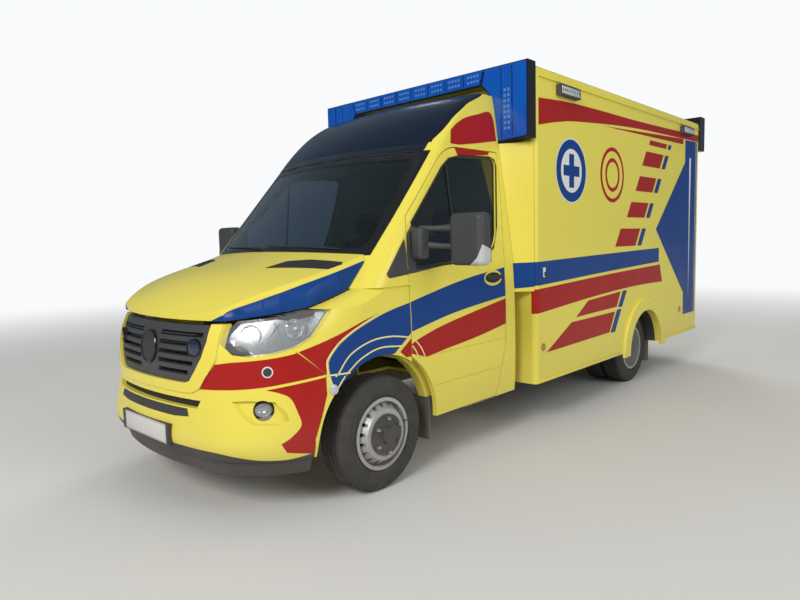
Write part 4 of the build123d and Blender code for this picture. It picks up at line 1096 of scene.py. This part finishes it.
hornSpot, hornWay = (0.439, inFront, 0.955), (0.35, -1, 0)
sensorSpot = (beside, -1.388, 0.831)
roundPieces = [
    # piece, node, where the ray starts, its way, profile, material, the way it faces if not the surface's own
    ("horn_lamp", "grille", hornSpot, (0, 1, 0),
     [(0.050, -0.02), (0.050, 0.010), (0.046, 0.014), (0.041, 0.014), (0.038, 0.004), (0.020, 0.000), (0, 0.002)],
     plastic["glossBlack"], hornWay),
    ("horn_lens", "grille", hornSpot, (0, 1, 0), [(0.041, 0.010), (0.024, 0.013), (0, 0.014)], blueDark, hornWay),
    ("sensor_ring", bumper, sensorSpot, (-1, 1, 0), [(0.030, -0.002), (0.030, 0.0014), (0, 0.0014)],
     paint["whiteFilm"], None),
    ("sensor", bumper, sensorSpot, (-1, 1, 0),
     [(0.023, 0.0), (0.023, 0.004), (0.020, 0.006), (0.013, 0.006), (0.012, 0.004), (0, 0.004)],
     metal["hubGrey"], None),
    ("side_marker", wing, (beside, -0.415, 0.700), (-1, 0.05, 0),
     [(0.030, -0.004), (0.030, 0.004), (0.027, 0.009), (0.015, 0.013), (0, 0.014)], paleCover, None),
]
for piece, node, start, way, profile, material, facing in roundPieces:
    for label, side in sides.items():
        addRound(f"{piece}_{label}", node, (side * start[0], *start[1:]), (side * way[0], *way[1:]), profile, material,
                 facing=facing and (side * facing[0], *facing[1:]))
print("grille and nose fittings")

# Bumper: dark strip and dark lower edge

stripRing = corners((-0.42, 0.580), (-0.40, 0.620), (0.40, 0.620), (0.42, 0.580), (0.30, 0.570), (-0.30, 0.570))
lowEdge = [(0.0, 0.418), (0.25, 0.417), (0.45, 0.413), (0.61, 0.406), (0.72, 0.384), (0.80, 0.364), (0.86, 0.357),
           (0.90, 0.357), (0.955, 0.374), (1.02, 0.40)]
underRing = [[(-x, z) for x, z in reversed(lowEdge)] + lowEdge[1:]] + corners((1.02, 0.30), (-1.02, 0.30))
bumperCore = (0, -0.25, 0.75)
for name, runs, span in (("bumper_strip", stripRing, (-1.2, -0.6)), ("bumper_under", underRing, (-1.2, -0.2))):
    addFilm(name, bumper, [ringOf(runs)], "y", span, (0, -1, 0), plastic["blackPlastic"], "vehicle", core=bumperCore)
print("bumper")

# Bonnet vents, the dark border of the windscreen, and wipers

ventRing = ringOf(corners((0.386, -0.394), (0.418, -0.250), (0.560, -0.175), (0.790, -0.118), (0.812, -0.150),
                          (0.800, -0.244), (0.640, -0.300)))
ventSlats = [((0.425, -0.335), (0.800, -0.205)), ((0.420, -0.295), (0.805, -0.168)), ((0.480, -0.243), (0.800, -0.136))]
slatWidth = 0.006
fritHalf = [(0.0, 2.125), (0.83, 2.125), (0.90, 1.76), (0.95, 1.40), (0.0, 1.40), (0.0, 1.482), (0.765, 1.470),
            (0.800, 1.520), (0.782, 1.76), (0.752, 2.02), (0.735, 2.048), (0.0, 2.056)]
for label, side in sides.items():
    addFilm(f"vent_{label}", bonnet, [mirrored(ventRing, side)], "z", (1.0, 1.6), (0, 0, 1), plastic["blackPlastic"],
            bonnet)
    for i, ends in enumerate(ventSlats):
        addFilm(f"vent_slat_{label}_{i}", bonnet, [band(mirrored(ends, side), slatWidth)], "z", (1.0, 1.6), (0, 0, 1),
                plastic["trimPlastic"], bonnet, lift["triangle"])
    addFilm(f"screen_border_{label}", "windscreen", [mirrored(fritHalf, side)], "y", (-0.6, 1.0), (0, -1, 0.4),
            plastic["glossBlack"], "vehicle", lift["patch"], core=(0, 1.2, 1.4))
wipers = {
    # pivot, then the blade's tip and heel, as x and z in front view
    "wiper_left": ((0.640, 1.462), (-0.02, 1.492), (0.600, 1.474)),
    "wiper_right": ((-0.060, 1.470), (-0.700, 1.488), (-0.100, 1.482)),
}
wiperLook = {"bladeLift": 0.0055, "armLift": 0.0072, "armRise": 0.004,
             "blade": [0.003] + [0.0042] * 11 + [0.003], "arm": [0.0036] * 6 + [0.003] * 3}
screenTree = treeOf("windscreen")


# A line over the windscreen between two places in front view
def overScreen(start, end, over, count):
    line = []
    for k in range(count):
        x, z = (a + (b - a) * k / (count - 1) for a, b in zip(start, end))
        spot, normal, _, _ = screenTree.ray_cast(Vector((x, -2 + axleY, z)), Vector((0, 1, 0)))
        line.append(spot + (-normal if normal.y > 0 else normal) * over)
    return line


for name, (pivot, tip, heel) in wipers.items():
    bm = bmesh.new()
    middle = ((tip[0] + heel[0]) / 2, (tip[1] + heel[1]) / 2 + wiperLook["armRise"])
    for start, end, over, radii in ((tip, heel, wiperLook["bladeLift"], wiperLook["blade"]),
                                    (pivot, middle, wiperLook["armLift"], wiperLook["arm"])):
        addTube(bm, overScreen(start, end, over, len(radii)), radii, count=8)
    addBmesh(name, bm, plastic["blackPlastic"], "vehicle")
print("vents, wipers and screen border")

# Cab doors: mirror triangle, window seals and divider, handle, the red band's last arcs, inner cards

windowLine = [(0.345, 1.480), (0.345, 1.616), (0.530, 1.800), (0.716, 1.986), (0.802, 2.047), (0.937, 2.077),
              (1.100, 2.085), (1.290, 2.095), (1.337, 2.080), (1.350, 2.040), (1.306, 1.820), (1.262, 1.600),
              (1.190, 1.450), (1.060, 1.375), (0.800, 1.364), (0.500, 1.351), (0.345, 1.345)]
windowFrame = frameRing(windowLine, 0.034)
windowDivider = band([(0.770, 1.340), (0.770, 2.060)], 0.020)
triangleFront = ringOf([[(0.062, 1.312), (0.072, 1.291), (0.100, 1.288)], [(0.251, 1.301)], [(0.251, 1.522)]])
triangleDoor = ringOf(corners((0.250, 1.301), (0.309, 1.307), (0.539, 1.332), (0.724, 1.352), (0.345, 1.352),
                              (0.345, 1.618), (0.250, 1.519)))
cardRing = ringOf(corners((0.31, 1.29), (1.36, 1.33), (1.36, 0.56), (0.62, 0.56), (0.50, 0.72), (0.31, 0.86)))
indicatorRing = cornerRing([(1.350, 0.372, 1.345), (1.405, 0.378, 1.395), (1.436, 0.390, 1.475),
                            (1.440, 0.470, 1.445), (1.440, 0.490, 1.345)])
handleLook = {
    "spot": (1.160, 1.224), "hollowRise": 0.002, "bowl": (0.112, 0.056), "hollow": (0.092, 0.038),
    # blocks from the door's face outward: out, y and z each from and to, then bevel and its segments
    "grip": ((0.016, 0.034), (-0.100, 0.092), (-0.010, 0.022), 0.008, 3),
    "feet": [((-0.002, 0.022), (-0.092, -0.068), (-0.006, 0.018), 0.004, 2),
             ((-0.002, 0.022), (0.062, 0.086), (-0.006, 0.018), 0.004, 2)],
}


handleY, handleZ = handleLook["spot"]
doorFilms = [
    # piece, node, outline, material, body, lift
    ("triangle_front_wings", wing, triangleFront, plastic["greyPlastic"], "vehicle", "triangle"),
    ("triangle_cab_shell", "cab_shell", triangleFront, plastic["greyPlastic"], "vehicle", "triangle"),
    ("triangle_door", door, triangleDoor, plastic["greyPlastic"], door, "triangle"),
    ("window_seal", door, windowFrame, plastic["sealRubber"], door, "seal"),
    ("glass_border", "door_glass_{}", windowFrame, plastic["glossBlack"], door, "patch"),
    ("glass_divider", "door_glass_{}", windowDivider, plastic["sealRubber"], door, "divider"),
    ("door_arc_0", door, band(doorArcs[0], lineWidth), paint["palePiping"], door, "line"),
    ("door_arc_1", door, band(doorArcs[1], lineWidth), paint["palePiping"], door, "line"),
    ("handle_bowl", door, oval(handleY, handleZ, *handleLook["bowl"]), paint["cabYellow"], door, "bowl"),
    # Inside the yellow handle bowl, a black oval set a little high is painted shade in the handle's hollow
    ("handle_hollow_shade", door, oval(handleY, handleZ + handleLook["hollowRise"], *handleLook["hollow"]),
     plastic["blackPlastic"], door, "hollow"),
]
for piece, node, ring, material, body, over in doorFilms:
    sideFilms(piece, node, [ring], material, body, over)
sideFilms("door_card", door, [cardRing], plastic["trimPlastic"], door, "card", facing=(-1, 0, 0))
for label, side in sides.items():
    face = abs(spotOn(door.format(label), (side * beside, handleY, handleZ), (-side, 0, 0))[0].x)
    bm = bmesh.new()
    for out, along, up, bevel, segments in [handleLook["grip"]] + handleLook["feet"]:
        addBlock(bm, side * (face + out[0]), side * (face + out[1]), handleY + along[0], handleY + along[1],
                 handleZ + up[0], handleZ + up[1], bevel, segments)
    addBmesh(f"door_handle_{label}", bm, plastic["blackPlastic"], door.format(label))
print("door fittings")

# Mirrors: root housing with its arms, and the clear indicator at the outer corner

mirrorRoot = {"housing": (0.958, 1.046, 0.292, 0.384, 1.392, 1.588), "bevel": 0.022, "arms": (1.475, 1.582),
              # x, y and how far under the arm's height
              "bends": [(0.99, 0.355, 0.0), (1.09, 0.395, 0.004), (1.20, 0.432, 0.008)], "radii": [0.020, 0.017, 0.017]}
for label, side in sides.items():
    bm = bmesh.new()
    x0, x1, *rest = mirrorRoot["housing"]
    addBlock(bm, side * x0, side * x1, *rest, mirrorRoot["bevel"], 3)
    for z in mirrorRoot["arms"]:
        addTube(bm, [sidePoint((x, y, z - drop), side) for x, y, drop in mirrorRoot["bends"]], mirrorRoot["radii"],
                count=14)
    addBmesh(f"mirror_root_{label}", bm, plastic["greyPlastic"], door.format(label))
sideFilms("indicator", "mirror_{}", [indicatorRing], paleCover, door, "lens", span=(0.4, 0.8), facing=(1, -1, 0),
          corner=True)
print("mirrors")

# Box: bands round the front corner, and markers

cornerBands = {
    "blueFilm": corners((1.530, 1.140), (1.6005, 1.1402), (1.6005, 1.3222), (1.530, 1.320)),
    "redFilm": corners((1.556, 0.924), (1.6005, 0.926), (1.6005, 1.113), (1.556, 1.110)),
}
markerLook = {"x": 1.100, "spots": [(1.655, 0.656), (4.650, 0.661)],
              "profile": [(0.030, 0), (0.030, 0.005), (0.026, 0.009), (0.012, 0.012), (0, 0.012)]}
ledLook = {"x": 1.147, "z": 2.640, "lamps": (2.025, 4.750), "first": -0.128, "pitch": 0.032, "count": 9,
           "profile": [(0.012, 0), (0.010, 0.002), (0, 0.0024)]}
for colour, runs in cornerBands.items():
    sideFilms(f"corner_{colour}", "box_front_wall", [ringOf(runs)], paint[colour], span=(0.9, 1.3), facing=(1, -0.7, 0))
for label, side in sides.items():
    bm = bmesh.new()
    for y, z in markerLook["spots"]:
        addTurned(bm, markerLook["profile"], sidePoint((markerLook["x"], y, z), side), (side, 0, 0), count=24)
    addBmesh(f"box_markers_{label}", bm, amberCover, "vehicle")
    bm = bmesh.new()
    for y in ledLook["lamps"]:
        for k in range(ledLook["count"]):
            spot = (ledLook["x"], y + ledLook["first"] + ledLook["pitch"] * k, ledLook["z"])
            addTurned(bm, ledLook["profile"], sidePoint(spot, side), (side, 0, 0), count=16)
    addBmesh(f"scene_leds_{label}", bm, metal["chromeFacet"], "vehicle")
print("box fittings")

# Inside: pale walls and roof in the load space, panels on the doors

def oblong(a0, a1, b0, b1):
    return [Vector(p) for p in ((a0, b0), (a1, b0), (a1, b1), (a0, b1))]


wallOutline = oblong(1.62, 5.18, 0.72, 2.66)
rearOutline = oblong(0.02, 0.66, 0.67, 2.40)
innerPanels = [
    # node, body, axis, outline, span on the axis, facing
    ("box_side_left", "vehicle", "x", wallOutline, (0.9, 1.12), (-1, 0, 0)),
    ("box_side_right", "vehicle", "x", wallOutline, (-1.12, -0.9), (1, 0, 0)),
    ("box_front_wall", "vehicle", "y", oblong(-1.07, 1.07, 0.72, 2.66), (1.45, 1.75), (0, 1, 0)),
    ("box_roof", "vehicle", "z", oblong(-1.08, 1.08, 1.60, 5.20), (2.5, 2.9), (0, 0, -1)),
    ("side_door", "side_door", "x", oblong(1.76, 2.47, 0.60, 2.42), (-1.14, -0.9), (1, 0, 0)),
    ("rear_door_left", "rear_door_left", "y", rearOutline, (5.1, 5.25), (0, -1, 0)),
    ("rear_door_right", "rear_door_right", "y", mirrored(rearOutline, -1), (5.1, 5.25), (0, -1, 0)),
]
for node, body, axis, outline, span, facing in innerPanels:
    addFilm(f"inner_{node}", node, [outline], axis, span, facing, plastic["plateWhite"], body)
print("inner panels")

# Seats: padded, with bolsters and a headrest, on their plinths

# A rounded cushion: half sizes, how square it is, and its lean about x in degrees
def addPillow(bm, centre, half, power=0.45, lean=0.0, across=28, up=18):
    turn = Matrix.Rotation(math.radians(lean), 3, "X")

    def soft(value, e):
        return math.copysign(abs(value) ** e, value)

    rows = []
    for i in range(up + 1):
        v = math.pi * (i / up - 0.5)
        row = []
        for k in range(across):
            u = 2 * math.pi * k / across
            p = Vector((half[0] * soft(math.cos(v), power) * soft(math.cos(u), power),
                        half[1] * soft(math.cos(v), power) * soft(math.sin(u), power),
                        half[2] * soft(math.sin(v), power)))
            row.append(bm.verts.new(sidePoint(centre) + turn @ p))
        rows.append(row)
    for a, b in zip(rows, rows[1:]):
        for k in range(across):
            j = (k + 1) % across
            bm.faces.new((a[k], a[j], b[j], b[k]))
    bmesh.ops.remove_doubles(bm, verts=bm.verts, dist=joinWithin["pillow"])


seatMiddle = 0.440
seatPads = [
    # place across from the seat's middle, y, z, half sizes, lean
    (0.0, 0.870, 0.950, (0.165, 0.215, 0.052), -3.0),
    (0.195, 0.870, 0.962, (0.052, 0.212, 0.058), -3.0),
    (-0.195, 0.870, 0.962, (0.052, 0.212, 0.058), -3.0),
    (0.0, 1.185, 1.270, (0.160, 0.052, 0.290), -14.0),
    (0.190, 1.175, 1.250, (0.055, 0.064, 0.265), -14.0),
    (-0.190, 1.175, 1.250, (0.055, 0.064, 0.265), -14.0),
    (0.0, 1.286, 1.655, (0.118, 0.042, 0.098), -8.0),
]
seatFrame = [
    # half width, y0, y1, z0, z1, bevel: plinth, rails, back plate
    (0.190, 0.705, 1.150, 0.6200, 0.880, 0.012), (0.215, 0.690, 1.170, 0.875, 0.905, 0.008),
    (0.150, 1.205, 1.290, 1.020, 1.470, 0.010)]
headrestPost = {"across": 0.045, "ends": ((1.262, 1.50), (1.280, 1.60)), "radius": 0.006}
for number, middle in enumerate((seatMiddle, -seatMiddle)):
    bm = bmesh.new()
    for across, y, z, half, lean in seatPads:
        addPillow(bm, (middle + across, y, z), half, lean=lean)
    pads = addBmesh(f"seat_pads_{number}", bm, seatCloth, "vehicle", smooth=50)
    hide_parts("cab_seats")
    bm = bmesh.new()
    for half, y0, y1, z0, z1, bevel in seatFrame:
        addBlock(bm, middle - half, middle + half, y0, y1, z0, z1, bevel)
    for side in (-1, 1):
        post = [(middle + side * headrestPost["across"], y + axleY, z) for y, z in headrestPost["ends"]]
        addTube(bm, post, headrestPost["radius"], count=10)
    addBmesh(f"seat_base_{number}", bm, plastic["trimPlastic"], "vehicle")
print("seats")

# Pieces made of blocks. Each block is x0, x1, y0, y1, z0, z1, bevel.

# The four bars of a frame in the plane across y
def frameBlocks(x0, x1, z0, z1, wide, y0, y1, bevel):
    return [(x0, x1, y0, y1, z0, z0 + wide, bevel), (x0, x1, y0, y1, z1 - wide, z1, bevel),
            (x0, x0 + wide, y0, y1, z0, z1, bevel), (x1 - wide, x1, y0, y1, z0, z1, bevel)]


# A block about a place in the plane across y
def cell(x, z, halfX, halfZ, y0, y1, bevel=0.0):
    return (x - halfX, x + halfX, y0, y1, z - halfZ, z + halfZ, bevel)


podRibs = [(side * x, side * (x + 0.006), 1.4315, 1.4345, z, 2.775, 0.0)
           for side in (1, -1) for x, z in ((0.880, 2.260), (0.976, 2.266))]
barRibs = [(x - 0.003, x + 0.003, 1.4225, 1.4260, 2.688, 2.779, 0.0)
           for x in (-0.54, -0.36, -0.18, 0, 0.18, 0.36, 0.54)]
barLights = [cell(-0.63 + 0.18 * k - 0.045 + 0.030 * step, row, 0.010, 0.010, 1.4228, 1.4262, 0.001)
             for k in range(8) for row in (2.712, 2.752) for step in range(4)]
podLights = [cell(side * (0.915 + 0.032 * step), 2.325 + 0.040 * row, 0.011, 0.012, 1.4318, 1.4352, 0.001)
             for side in (1, -1) for row in range(8) for step in range(2)]
rearLights = [cell(side * (0.845 + 0.045 * step), z, 0.014, 0.012, 5.4390, 5.4400)
              for side in (1, -1) for z in (2.55, 2.62, 2.69, 2.76) for step in range(5)]
blockPieces = [
    # piece, with {} where there is one a side; material, body, blocks
    ("plate_blank", plastic["plateWhite"], "vehicle", [(-0.2595, 0.2595, -1.0155, -1.0112, 0.4060, 0.5190, 0.0015)]),
    ("plate_edge", plastic["sealRubber"], "vehicle",
     frameBlocks(-0.254, 0.254, 0.4105, 0.5145, 0.002, -1.0159, -1.0150, 0.0)),
    ("mirror_panes_{}", metal["mirrorPane"], door, [(1.212, 1.414, 0.4980, 0.5010, 1.452, 1.640, 0.001),
                                                    (1.212, 1.414, 0.4980, 0.5010, 1.378, 1.440, 0.001)]),
    ("mirror_rims_{}", plastic["blackPlastic"], door,
     frameBlocks(1.204, 1.422, 1.444, 1.648, 0.006, 0.496, 0.5025, 0.001)
     + frameBlocks(1.204, 1.422, 1.370, 1.444, 0.006, 0.496, 0.5025, 0.001)),
    ("box_trims_{}", paint["boxYellow"], "vehicle", [(1.0995, 1.1145, 1.600, 5.190, 2.6985, 2.7060, 0.002),
                                                     (1.0995, 1.1125, 1.600, 3.090, 0.3800, 0.4060, 0.003),
                                                     (1.0995, 1.1125, 4.240, 5.190, 0.3800, 0.4060, 0.003)]),
    ("scene_lenses_{}", paleCover, "vehicle",
     [(1.142, 1.1470, y - 0.145, y + 0.145, 2.612, 2.668, 0.0015) for y in ledLook["lamps"]]),
    ("box_latch", plastic["plateWhite"], "vehicle", [(1.1000, 1.1075, 1.655, 1.690, 1.200, 1.275, 0.004)]),
    ("box_latch_tongue", plastic["blackPlastic"], "vehicle", [(1.1070, 1.1130, 1.664, 1.681, 1.208, 1.240, 0.002)]),
    ("lamp_ribs", blueDark, "vehicle", barRibs + podRibs),
    ("lamp_leds", bluePale, "vehicle", barLights + podLights),
    ("rear_lamp_leds", bluePale, "vehicle", rearLights),
    # Dashboard: instrument hood, middle screen, four vents and glove lid
    ("dash_details", plastic["trimPlastic"], "vehicle",
     [(0.290, 0.590, 0.300, 0.405, 1.402, 1.448, 0.014), (-0.130, 0.130, 0.380, 0.4300, 1.270, 1.408, 0.008)]
     + [cell(x, 1.334, 0.055, 0.034, 0.412, 0.4330, 0.006) for x in (-0.70, -0.20, 0.20, 0.70)]
     + [(-0.72, -0.26, 0.414, 0.4360, 1.120, 1.250, 0.006)]),
    ("dash_screens", plastic["glossBlack"], "vehicle",
     [(-0.110, 0.110, 0.4285, 0.4320, 1.288, 1.392, 0.002), (0.320, 0.560, 0.4035, 0.4070, 1.405, 1.440, 0.002)]),
    ("rear_lens_red_{}", redCover, "vehicle", [(0.802, 0.882, 5.2585, 5.2625, 0.486, 0.594, 0.002)]),
    ("rear_lens_amber_{}", amberCover, "vehicle", [(0.884, 0.960, 5.2585, 5.2625, 0.486, 0.594, 0.002)]),
    ("rear_lens_pale_{}", paleCover, "vehicle", [(0.962, 1.038, 5.2585, 5.2625, 0.486, 0.594, 0.002)]),
    ("rear_reflector_{}", redCover, "vehicle", [(0.860, 1.000, 5.230, 5.2345, 0.630, 0.665, 0.0015)]),
    ("rear_seal_{}", plastic["sealRubber"], "rear_door_{}",
     frameBlocks(0.0040, 0.682, 0.647, 2.423, 0.014, 5.2270, 5.2310, 0.001)),
    ("step_tread", metal["brightSteel"], "vehicle",
     [(x - 0.018, x + 0.018, 5.268, 5.392, 0.4305, 0.4345, 0.001) for x in (-0.66 + 0.0629 * k for k in range(22))]),
]


for name, material, body, blocks in blockPieces:
    for label, side in sides.items() if "{}" in name else [("", 1)]:
        bm = bmesh.new()
        for x0, x1, *rest in blocks:
            addBlock(bm, side * x0, side * x1, *rest)
        addBmesh(name.format(label), bm, material, body.format(label))
print("block pieces")

# Rear doors: window seals and grab handles

rearWindow = {"middle": (0.3435, 1.900), "corners": ((-0.160, -0.300), (0.160, -0.300), (0.220, -0.240), (0.220, 0.240),
                                                    (0.160, 0.300), (-0.160, 0.300), (-0.220, 0.240), (-0.220, -0.240)),
              "width": 0.040}
grabLook = {"x": 0.085, "line": ((5.2290, 1.300), (5.2550, 1.320), (5.2550, 1.560), (5.2290, 1.580)), "radius": 0.009}
rearRing = frameRing([(rearWindow["middle"][0] + a, rearWindow["middle"][1] + b) for a, b in rearWindow["corners"]],
                     rearWindow["width"])
for label, side in sides.items():
    rearDoor = f"rear_door_{label}"
    addFilm(f"rear_window_seal_{label}", rearDoor, [mirrored(rearRing, side)], "y", (5.215, 5.24), (0, 1, 0),
            plastic["sealRubber"], rearDoor, lift["rearSeal"])
    bm = bmesh.new()
    addTube(bm, [sidePoint((grabLook["x"], y, z), side) for y, z in grabLook["line"]], grabLook["radius"], count=12)
    addBmesh(f"rear_grab_{label}", bm, metal["brightSteel"], rearDoor)
print("rear doors")

# Light, floor and camera

cameraView = {"spot": (3.547, -2.581, 1.504), "yaw": 43.07, "pitch": 5.40, "roll": -1.505, "lens": 27.875,
              "sensor": 36.0}
studio = {
    # name: place, size, watts, colour
    "key": ((3.8, -9.5, 7.5), 4.5, 820, (1.0, 0.97, 0.92)),
    "fill": ((9.5, 1.0, 5.5), 6.0, 240, (0.93, 0.96, 1.0)),
    "rear": ((-6.0, 11.0, 7.0), 6.0, 420, (1.0, 1.0, 1.0)),
}
studioAim = (0, 1.5, 1.2)
floorLook = {"radius": 90.0, "colour": (0.74, 0.73, 0.71), "shade": (0.70, 0.69, 0.67), "fade": (5.0, 15.0)}
worldLook = {"light": (0.40, 0.41, 0.42), "mirrored": (0.13, 0.17, 0.21), "shown": (0.95, 0.96, 0.97)}


def setCamera():
    yaw, pitch, roll = (math.radians(cameraView[k]) for k in ("yaw", "pitch", "roll"))
    ahead = Vector((-math.sin(yaw) * math.cos(pitch), math.cos(yaw) * math.cos(pitch), -math.sin(pitch)))
    flatRight = ahead.cross(Vector((0, 0, 1))).normalized()
    flatUp = flatRight.cross(ahead)
    right = flatRight * math.cos(roll) + flatUp * math.sin(roll)
    up = flatUp * math.cos(roll) - flatRight * math.sin(roll)
    data = bpy.data.cameras.new("photoCamera")
    data.lens = cameraView["lens"]
    data.sensor_width = cameraView["sensor"]
    camera = bpy.data.objects.new("photoCamera", data)
    bpy.context.scene.collection.objects.link(camera)
    turn = Matrix((right, up, -ahead)).transposed().to_4x4()
    camera.matrix_world = Matrix.Translation(sidePoint(cameraView["spot"])) @ turn
    bpy.context.scene.camera = camera


def setLights():
    for name, (spot, size, watts, colour) in studio.items():
        data = bpy.data.lights.new(name, "AREA")
        data.shape = "DISK"
        data.size = size
        data.energy = watts
        data.color = colour
        lamp = bpy.data.objects.new(name, data)
        bpy.context.scene.collection.objects.link(lamp)
        lamp.location = sidePoint(spot)
        aim = sidePoint(studioAim) - lamp.location
        lamp.rotation_euler = aim.to_track_quat("-Z", "Y").to_euler()


def setWorld():
    world = bpy.data.worlds.new("paleStudio")
    bpy.context.scene.world = world
    world.use_nodes = True
    tree = world.node_tree
    back = tree.nodes["Background"]
    path = addNode(tree, "ShaderNodeLightPath")
    seen = mathNode(tree, "MAXIMUM", path.outputs["Is Camera Ray"], path.outputs["Is Transmission Ray"])
    hidden = mixColour(tree, path.outputs["Is Glossy Ray"], worldLook["light"], worldLook["mirrored"])
    tree.links.new(mixColour(tree, seen, hidden, worldLook["shown"]), back.inputs["Color"])
    back.inputs["Strength"].default_value = 1.0


def setFloor():
    bm = bmesh.new()
    bmesh.ops.create_circle(bm, cap_ends=True, segments=96, radius=floorLook["radius"])
    material, tree, shader = newMaterial("paleFloor", roughness=0.9, specular=0.2)
    grit = addTexture(tree, "Noise", Scale=0.6, Detail=6.0)
    dress(tree, shader, grit.outputs["Fac"], floorLook["colour"], floorLook["shade"])
    # Far from the part the floor goes over into the background
    place = addNode(tree, "ShaderNodeTexCoord")
    reach = addNode(tree, "ShaderNodeVectorMath", {"Vector": place.outputs["Object"]}, operation="LENGTH")
    far = addNode(tree, "ShaderNodeMapRange", {"Value": reach.outputs["Value"]}, interpolation_type="SMOOTHSTEP")
    far.inputs["From Min"].default_value, far.inputs["From Max"].default_value = floorLook["fade"]
    glow = addNode(tree, "ShaderNodeEmission")
    path = addNode(tree, "ShaderNodeLightPath")
    tree.links.new(mixColour(tree, path.outputs["Is Camera Ray"], worldLook["light"], worldLook["shown"]),
                   glow.inputs["Color"])
    blend = addNode(tree, "ShaderNodeMixShader", {"Fac": far.outputs["Result"]})
    tree.links.new(shader.outputs["BSDF"], blend.inputs[1])
    tree.links.new(glow.outputs["Emission"], blend.inputs[2])
    tree.links.new(blend.outputs["Shader"], tree.nodes["Material Output"].inputs["Surface"])
    floor = addBmesh("floor", bm, material, None, smooth=0)


setCamera()
setLights()
setWorld()
setFloor()
bpy.context.scene.view_settings.view_transform = "Standard"
print("camera, light and floor")
